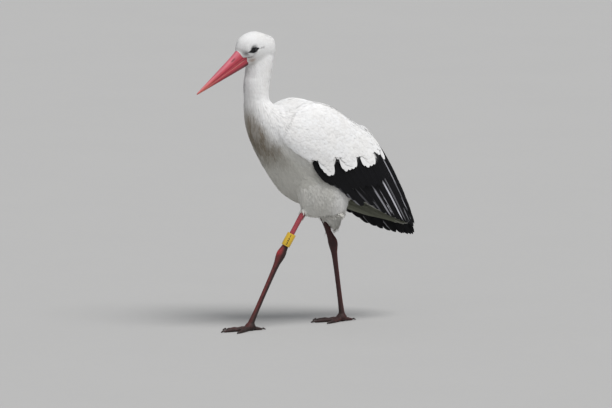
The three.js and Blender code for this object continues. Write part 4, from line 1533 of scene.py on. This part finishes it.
def makeBill(way, name, node):
    plan, shape, line = billPlan, billShape, billPlan["line"]
    end = plan["corner"] + plan["length"]

    def slitAlong(along):
        return peak(along, shape["slitAt"], shape["slitLong"], 4)

    def cornerAt(u, v):
        along = plan["start"] + (end + 0.6 - plan["start"]) * (1 - (1 - v) ** shape["crowd"])
        tip = math.sqrt(max(1 - max(along - (end - 2.4), 0) / 3.0, 0.02))
        depth, wide = float(billDepth(along, way)) * tip, float(billWidth(along)) * tip
        if u < shape["flat"]:
            turn = math.pi * u / shape["flat"]
            side = math.cos(turn)
            left = wide * math.copysign(abs(side) ** 0.82, side)
            high = depth * math.sin(turn) ** (1.0 if way > 0 else 0.85)
            rim = shape["gap"]
        else:
            left = wide * (2 * (u - shape["flat"]) / (1 - shape["flat"]) - 1)
            high = 0.0
            rim = shape["gap"] + 0.5 * (1 - abs(left) / max(wide, 0.1))
        if way < 0:
            left *= shape["lowerWide"]
        elif u < shape["flat"]:
            left *= 1 - 0.045 * peak(high, shape["grooveAt"] * depth, 0.05 * depth + 0.35) * (along < 165)
            sloped = high + (along - shape["slitAt"]) * 0.05
            left *= 1 - 0.26 * slitAlong(along) * peak(sloped, shape["slitUp"] * depth, 0.8)
        return headSpot(along, left, line + way * (rim + high))

    mesh = rolledTube(name, shape["around"], shape["along"], cornerAt)
    along, _, above = headParts(coordsOf(mesh))
    share = np.clip(billShare(along), 0, 1)
    height = np.clip((above - line) * way / billDepth(along, way), 0, 1)
    marks = [("billTip", smooth(share, 0.45, 1.0) * 0.75)]
    if way > 0:
        marks += [
            # painted highlight along the top
            ("billTopHighlight", smooth(height, 0.4, 0.9) * 0.6 * (1 - 0.3 * share)),
            ("billGroove", peak(height, shape["grooveAt"], 0.07) * 0.75 * (1 - smooth(share, 0.6, 0.85))),
            ("billMouth", (1 - smooth(height, 0.0, 0.1)) * 0.6),
            ("nostril", slitAlong(along) * peak(height, shape["slitUp"], 0.06) * 0.85),
        ]
    else:
        marks += [
            ("billLip", (1 - smooth(height, 0.03, 0.16)) * 0.75 * smooth(share, 0.02, 0.1)),
            # painted shade on the lower mandible's underside
            ("billUnderShade", smooth(height, 0.25, 0.85) * 0.75 * (1 - 0.5 * smooth(share, 0.3, 0.9))),
            # painted shade under the bill's base
            ("billCornerShade", smooth(height, 0.4, 0.9) * (1 - smooth(share, 0.03, 0.16)) * 0.8),
        ]
    tint = filled("billRed", len(along))
    for colour, amount in marks:
        tint = blendTo(tint, colour, amount)
    writeTint(mesh, tint)
    addObject(name, mesh, "billHorn", (node,))


makeBill(1, "billUpper", "bill_upper")
makeBill(-1, "billLower", "bill_lower")
print("bill made")

# Eyes: ball, dark bare skin with a rim round the opening
eyeGrid = {
    "ball": (40, 24), "skin": (64, 8), "rim": (64, 10), "thick": 0.0011, "edge": 0.5, "drape": 0.55,
    "lift": 0.9,
}


def makeEye(side):
    sign, plan, grid = sides[side], eyePlan, eyeGrid
    ball = plan["ball"]
    centre = headSpot(plan["along"], sign * plan["left"], plan["above"])
    gazePlace = headSpot(plan["along"] + 3, sign * (plan["left"] + 10), plan["above"] + 0.3)
    gaze = (gazePlace - centre).normalized()
    out = (headFrame.to_3x3() @ Vector((sign, 0, 0))).normalized()

    # How far left the eyeball's surface is, at a reach from its middle.
    def ballLeft(reach, least=0.0):
        return plan["left"] + math.sqrt(max(ball**2 - reach**2, least))

    def skinLeft(along, above):
        hit = skinTree.ray_cast(headSpot(along, sign * 80, above), -out, 0.08)[0]
        return plan["left"] if hit is None else float(headParts(np.array([hit]))[1][0]) * sign

    def skinAt(u, v):
        turn = 2 * math.pi * u - math.pi
        far = max(float(patchReach(turn)), ball) + grid["edge"]
        near = 1 / math.hypot(math.cos(turn) / plan["openLong"], math.sin(turn) / plan["openHigh"])
        reach = far + (near - far) * v
        along, above = plan["along"] + reach * math.cos(turn), plan["above"] + reach * math.sin(turn)
        ground = skinLeft(along, above) + grid["lift"]
        height = ground + (ballLeft(near) + 0.15 - ground) * v * v * (3 - 2 * v)
        if reach < ball:
            height = max(height, ballLeft(reach) + grid["drape"])
        return headSpot(along, sign * max(height, ground * (1 - v)), above)

    def rimAt(u, v):
        turn, roll = 2 * math.pi * u, 2 * math.pi * v
        reach = plan["rim"] * math.cos(roll)
        x = (plan["openLong"] - 0.2 + reach) * math.cos(turn)
        z = (plan["openHigh"] - 0.2 + reach) * math.sin(turn)
        height = ballLeft(min(math.hypot(x, z), ball - 0.2)) + 0.1 + plan["rim"] * math.sin(roll)
        return headSpot(plan["along"] + x, sign * height, plan["above"] + z)

    bm = bmesh.new()
    around, high = grid["ball"]
    bmesh.ops.create_uvsphere(bm, u_segments=around, v_segments=high, radius=ball / 1000)
    bmesh.ops.translate(bm, verts=bm.verts, vec=centre)
    mesh = finishMesh(bm, f"eyeball_{side}")
    writeFloat(mesh, "gaze", (coordsOf(mesh) - np.array(centre)) @ np.array(gaze) / ball * 1000)
    addObject(f"eyeball_{side}", mesh, "eye", (f"eye_{side}",))

    bm = gridOf(*grid["skin"], skinAt)
    mergePoints(bm)
    faceTowards(bm, out)
    bmesh.ops.solidify(bm, geom=bm.faces[:], thickness=grid["thick"])
    addObject(f"eyeSkin_{side}", finishMesh(bm, f"eyeSkin_{side}"), "bareFaceSkin")
    rim = rolledTube(f"eyeRim_{side}", *grid["rim"], rimAt, closed=False)
    addObject(f"eyeRim_{side}", rim, "bareFaceSkin")


for side in sides:
    makeEye(side)
print("eyes made")

# Claws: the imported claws, merged and rounded
for side in sides:
    for toe in toeNames:
        bm = shapeFrom(nodes[f"claw_{side}_{toe}"].data)
        mergePoints(bm)
        bmesh.ops.subdivide_edges(bm, edges=bm.edges, cuts=2, use_grid_fill=True, smooth=0.6)
        everyAxis = {f"use_axis_{axis}": True for axis in "xyz"}
        bmesh.ops.smooth_vert(bm, verts=bm.verts, factor=0.5, **everyAxis)
        writeCornerMap(bm, 40, 0)
        mesh = finishMesh(bm, f"clawHorn_{side}_{toe}")
        writeTint(mesh, filled("claw", len(mesh.vertices)))
        addObject(f"clawHorn_{side}_{toe}", mesh, "clawHorn", (f"claw_{side}_{toe}",))
print("claws made")

# Leg ring with plain digits
ringPlan = {
    "heel": (72, 32, 196), "knee": (-34, 65, 400), "up": 41, "tall": 35, "inner": 9.6, "wall": 1.8,
    "edge": 0.5, "steps": 96, "digits": "123", "digitTall": 8.4, "pitch": 10.2, "relief": 0.16,
    "bold": 0.22, "lean": 0.12,
}


def makeRing():
    plan = ringPlan
    heel = spot(*plan["heel"])
    axis = (spot(*plan["knee"]) - heel).normalized()
    turn = math.radians(view["turn"])
    toCamera = Vector((math.cos(turn), -math.sin(turn), plan["lean"]))
    front = (toCamera - axis * toCamera.dot(axis)).normalized()
    turned = Matrix((front, axis.cross(front), axis)).transposed().to_4x4()
    turned.translation = heel + axis * plan["up"] / 1000
    inner, outer, half = plan["inner"], plan["inner"] + plan["wall"], plan["tall"] / 2
    bm = bmesh.new()
    profile = ((inner, -half), (outer, -half), (outer, half), (inner, half))
    corners = [bm.verts.new((x / 1000, 0, z / 1000)) for x, z in profile]
    edges = [bm.edges.new((corners[k], corners[(k + 1) % 4])) for k in range(4)]
    bmesh.ops.spin(
        bm, geom=corners + edges, cent=(0, 0, 0), axis=(0, 0, 1), dvec=(0, 0, 0), angle=2 * math.pi,
        steps=plan["steps"], use_merge=True, use_duplicate=False,
    )
    bmesh.ops.recalc_face_normals(bm, faces=bm.faces)
    rims = [e for e in bm.edges if len(e.link_faces) == 2 and e.calc_face_angle(0) > 1.0]
    bmesh.ops.bevel(
        bm, geom=rims, offset=plan["edge"] / 1000, segments=3, profile=0.5, affect="EDGES", material=-1,
        clamp_overlap=True,
    )
    bmesh.ops.transform(bm, matrix=turned, verts=bm.verts)
    mesh = finishMesh(bm, "legRing")
    addObject("legRing", mesh, "yellowPlastic", ("leg_ring",))
    mesh.set_sharp_from_angle(angle=math.radians(40))

    parts = bmesh.new()
    for k, digit in enumerate(plan["digits"]):
        curve = bpy.data.curves.new("digit", "FONT")
        curve.body, curve.align_x, curve.align_y = digit, "CENTER", "CENTER"
        curve.size, curve.resolution_u = plan["digitTall"] * 1.35 / 1000, 6
        curve.extrude, curve.offset = plan["relief"] / 1000, plan["bold"] / 1000
        bm = shapeFrom(appliedMesh(newObject("digit", curve)))
        bmesh.ops.translate(bm, verts=bm.verts, vec=(0, (1 - k) * plan["pitch"] / 1000, 0))
        bmesh.ops.subdivide_edges(bm, edges=[e for e in bm.edges if e.calc_length() > 0.001], cuts=2)
        parts.from_mesh(meshFrom(bm, "digit"))
    mergePoints(parts)
    for vert in parts.verts:
        turn, reach = vert.co.x * 1000 / outer, outer / 1000 + vert.co.z
        vert.co = (reach * math.cos(turn), reach * math.sin(turn), vert.co.y)
    bmesh.ops.transform(parts, matrix=turned, verts=parts.verts)
    addObject("ringDigits", finishMesh(parts, "ringDigits", False), "blackInk")


makeRing()
print("ring made")
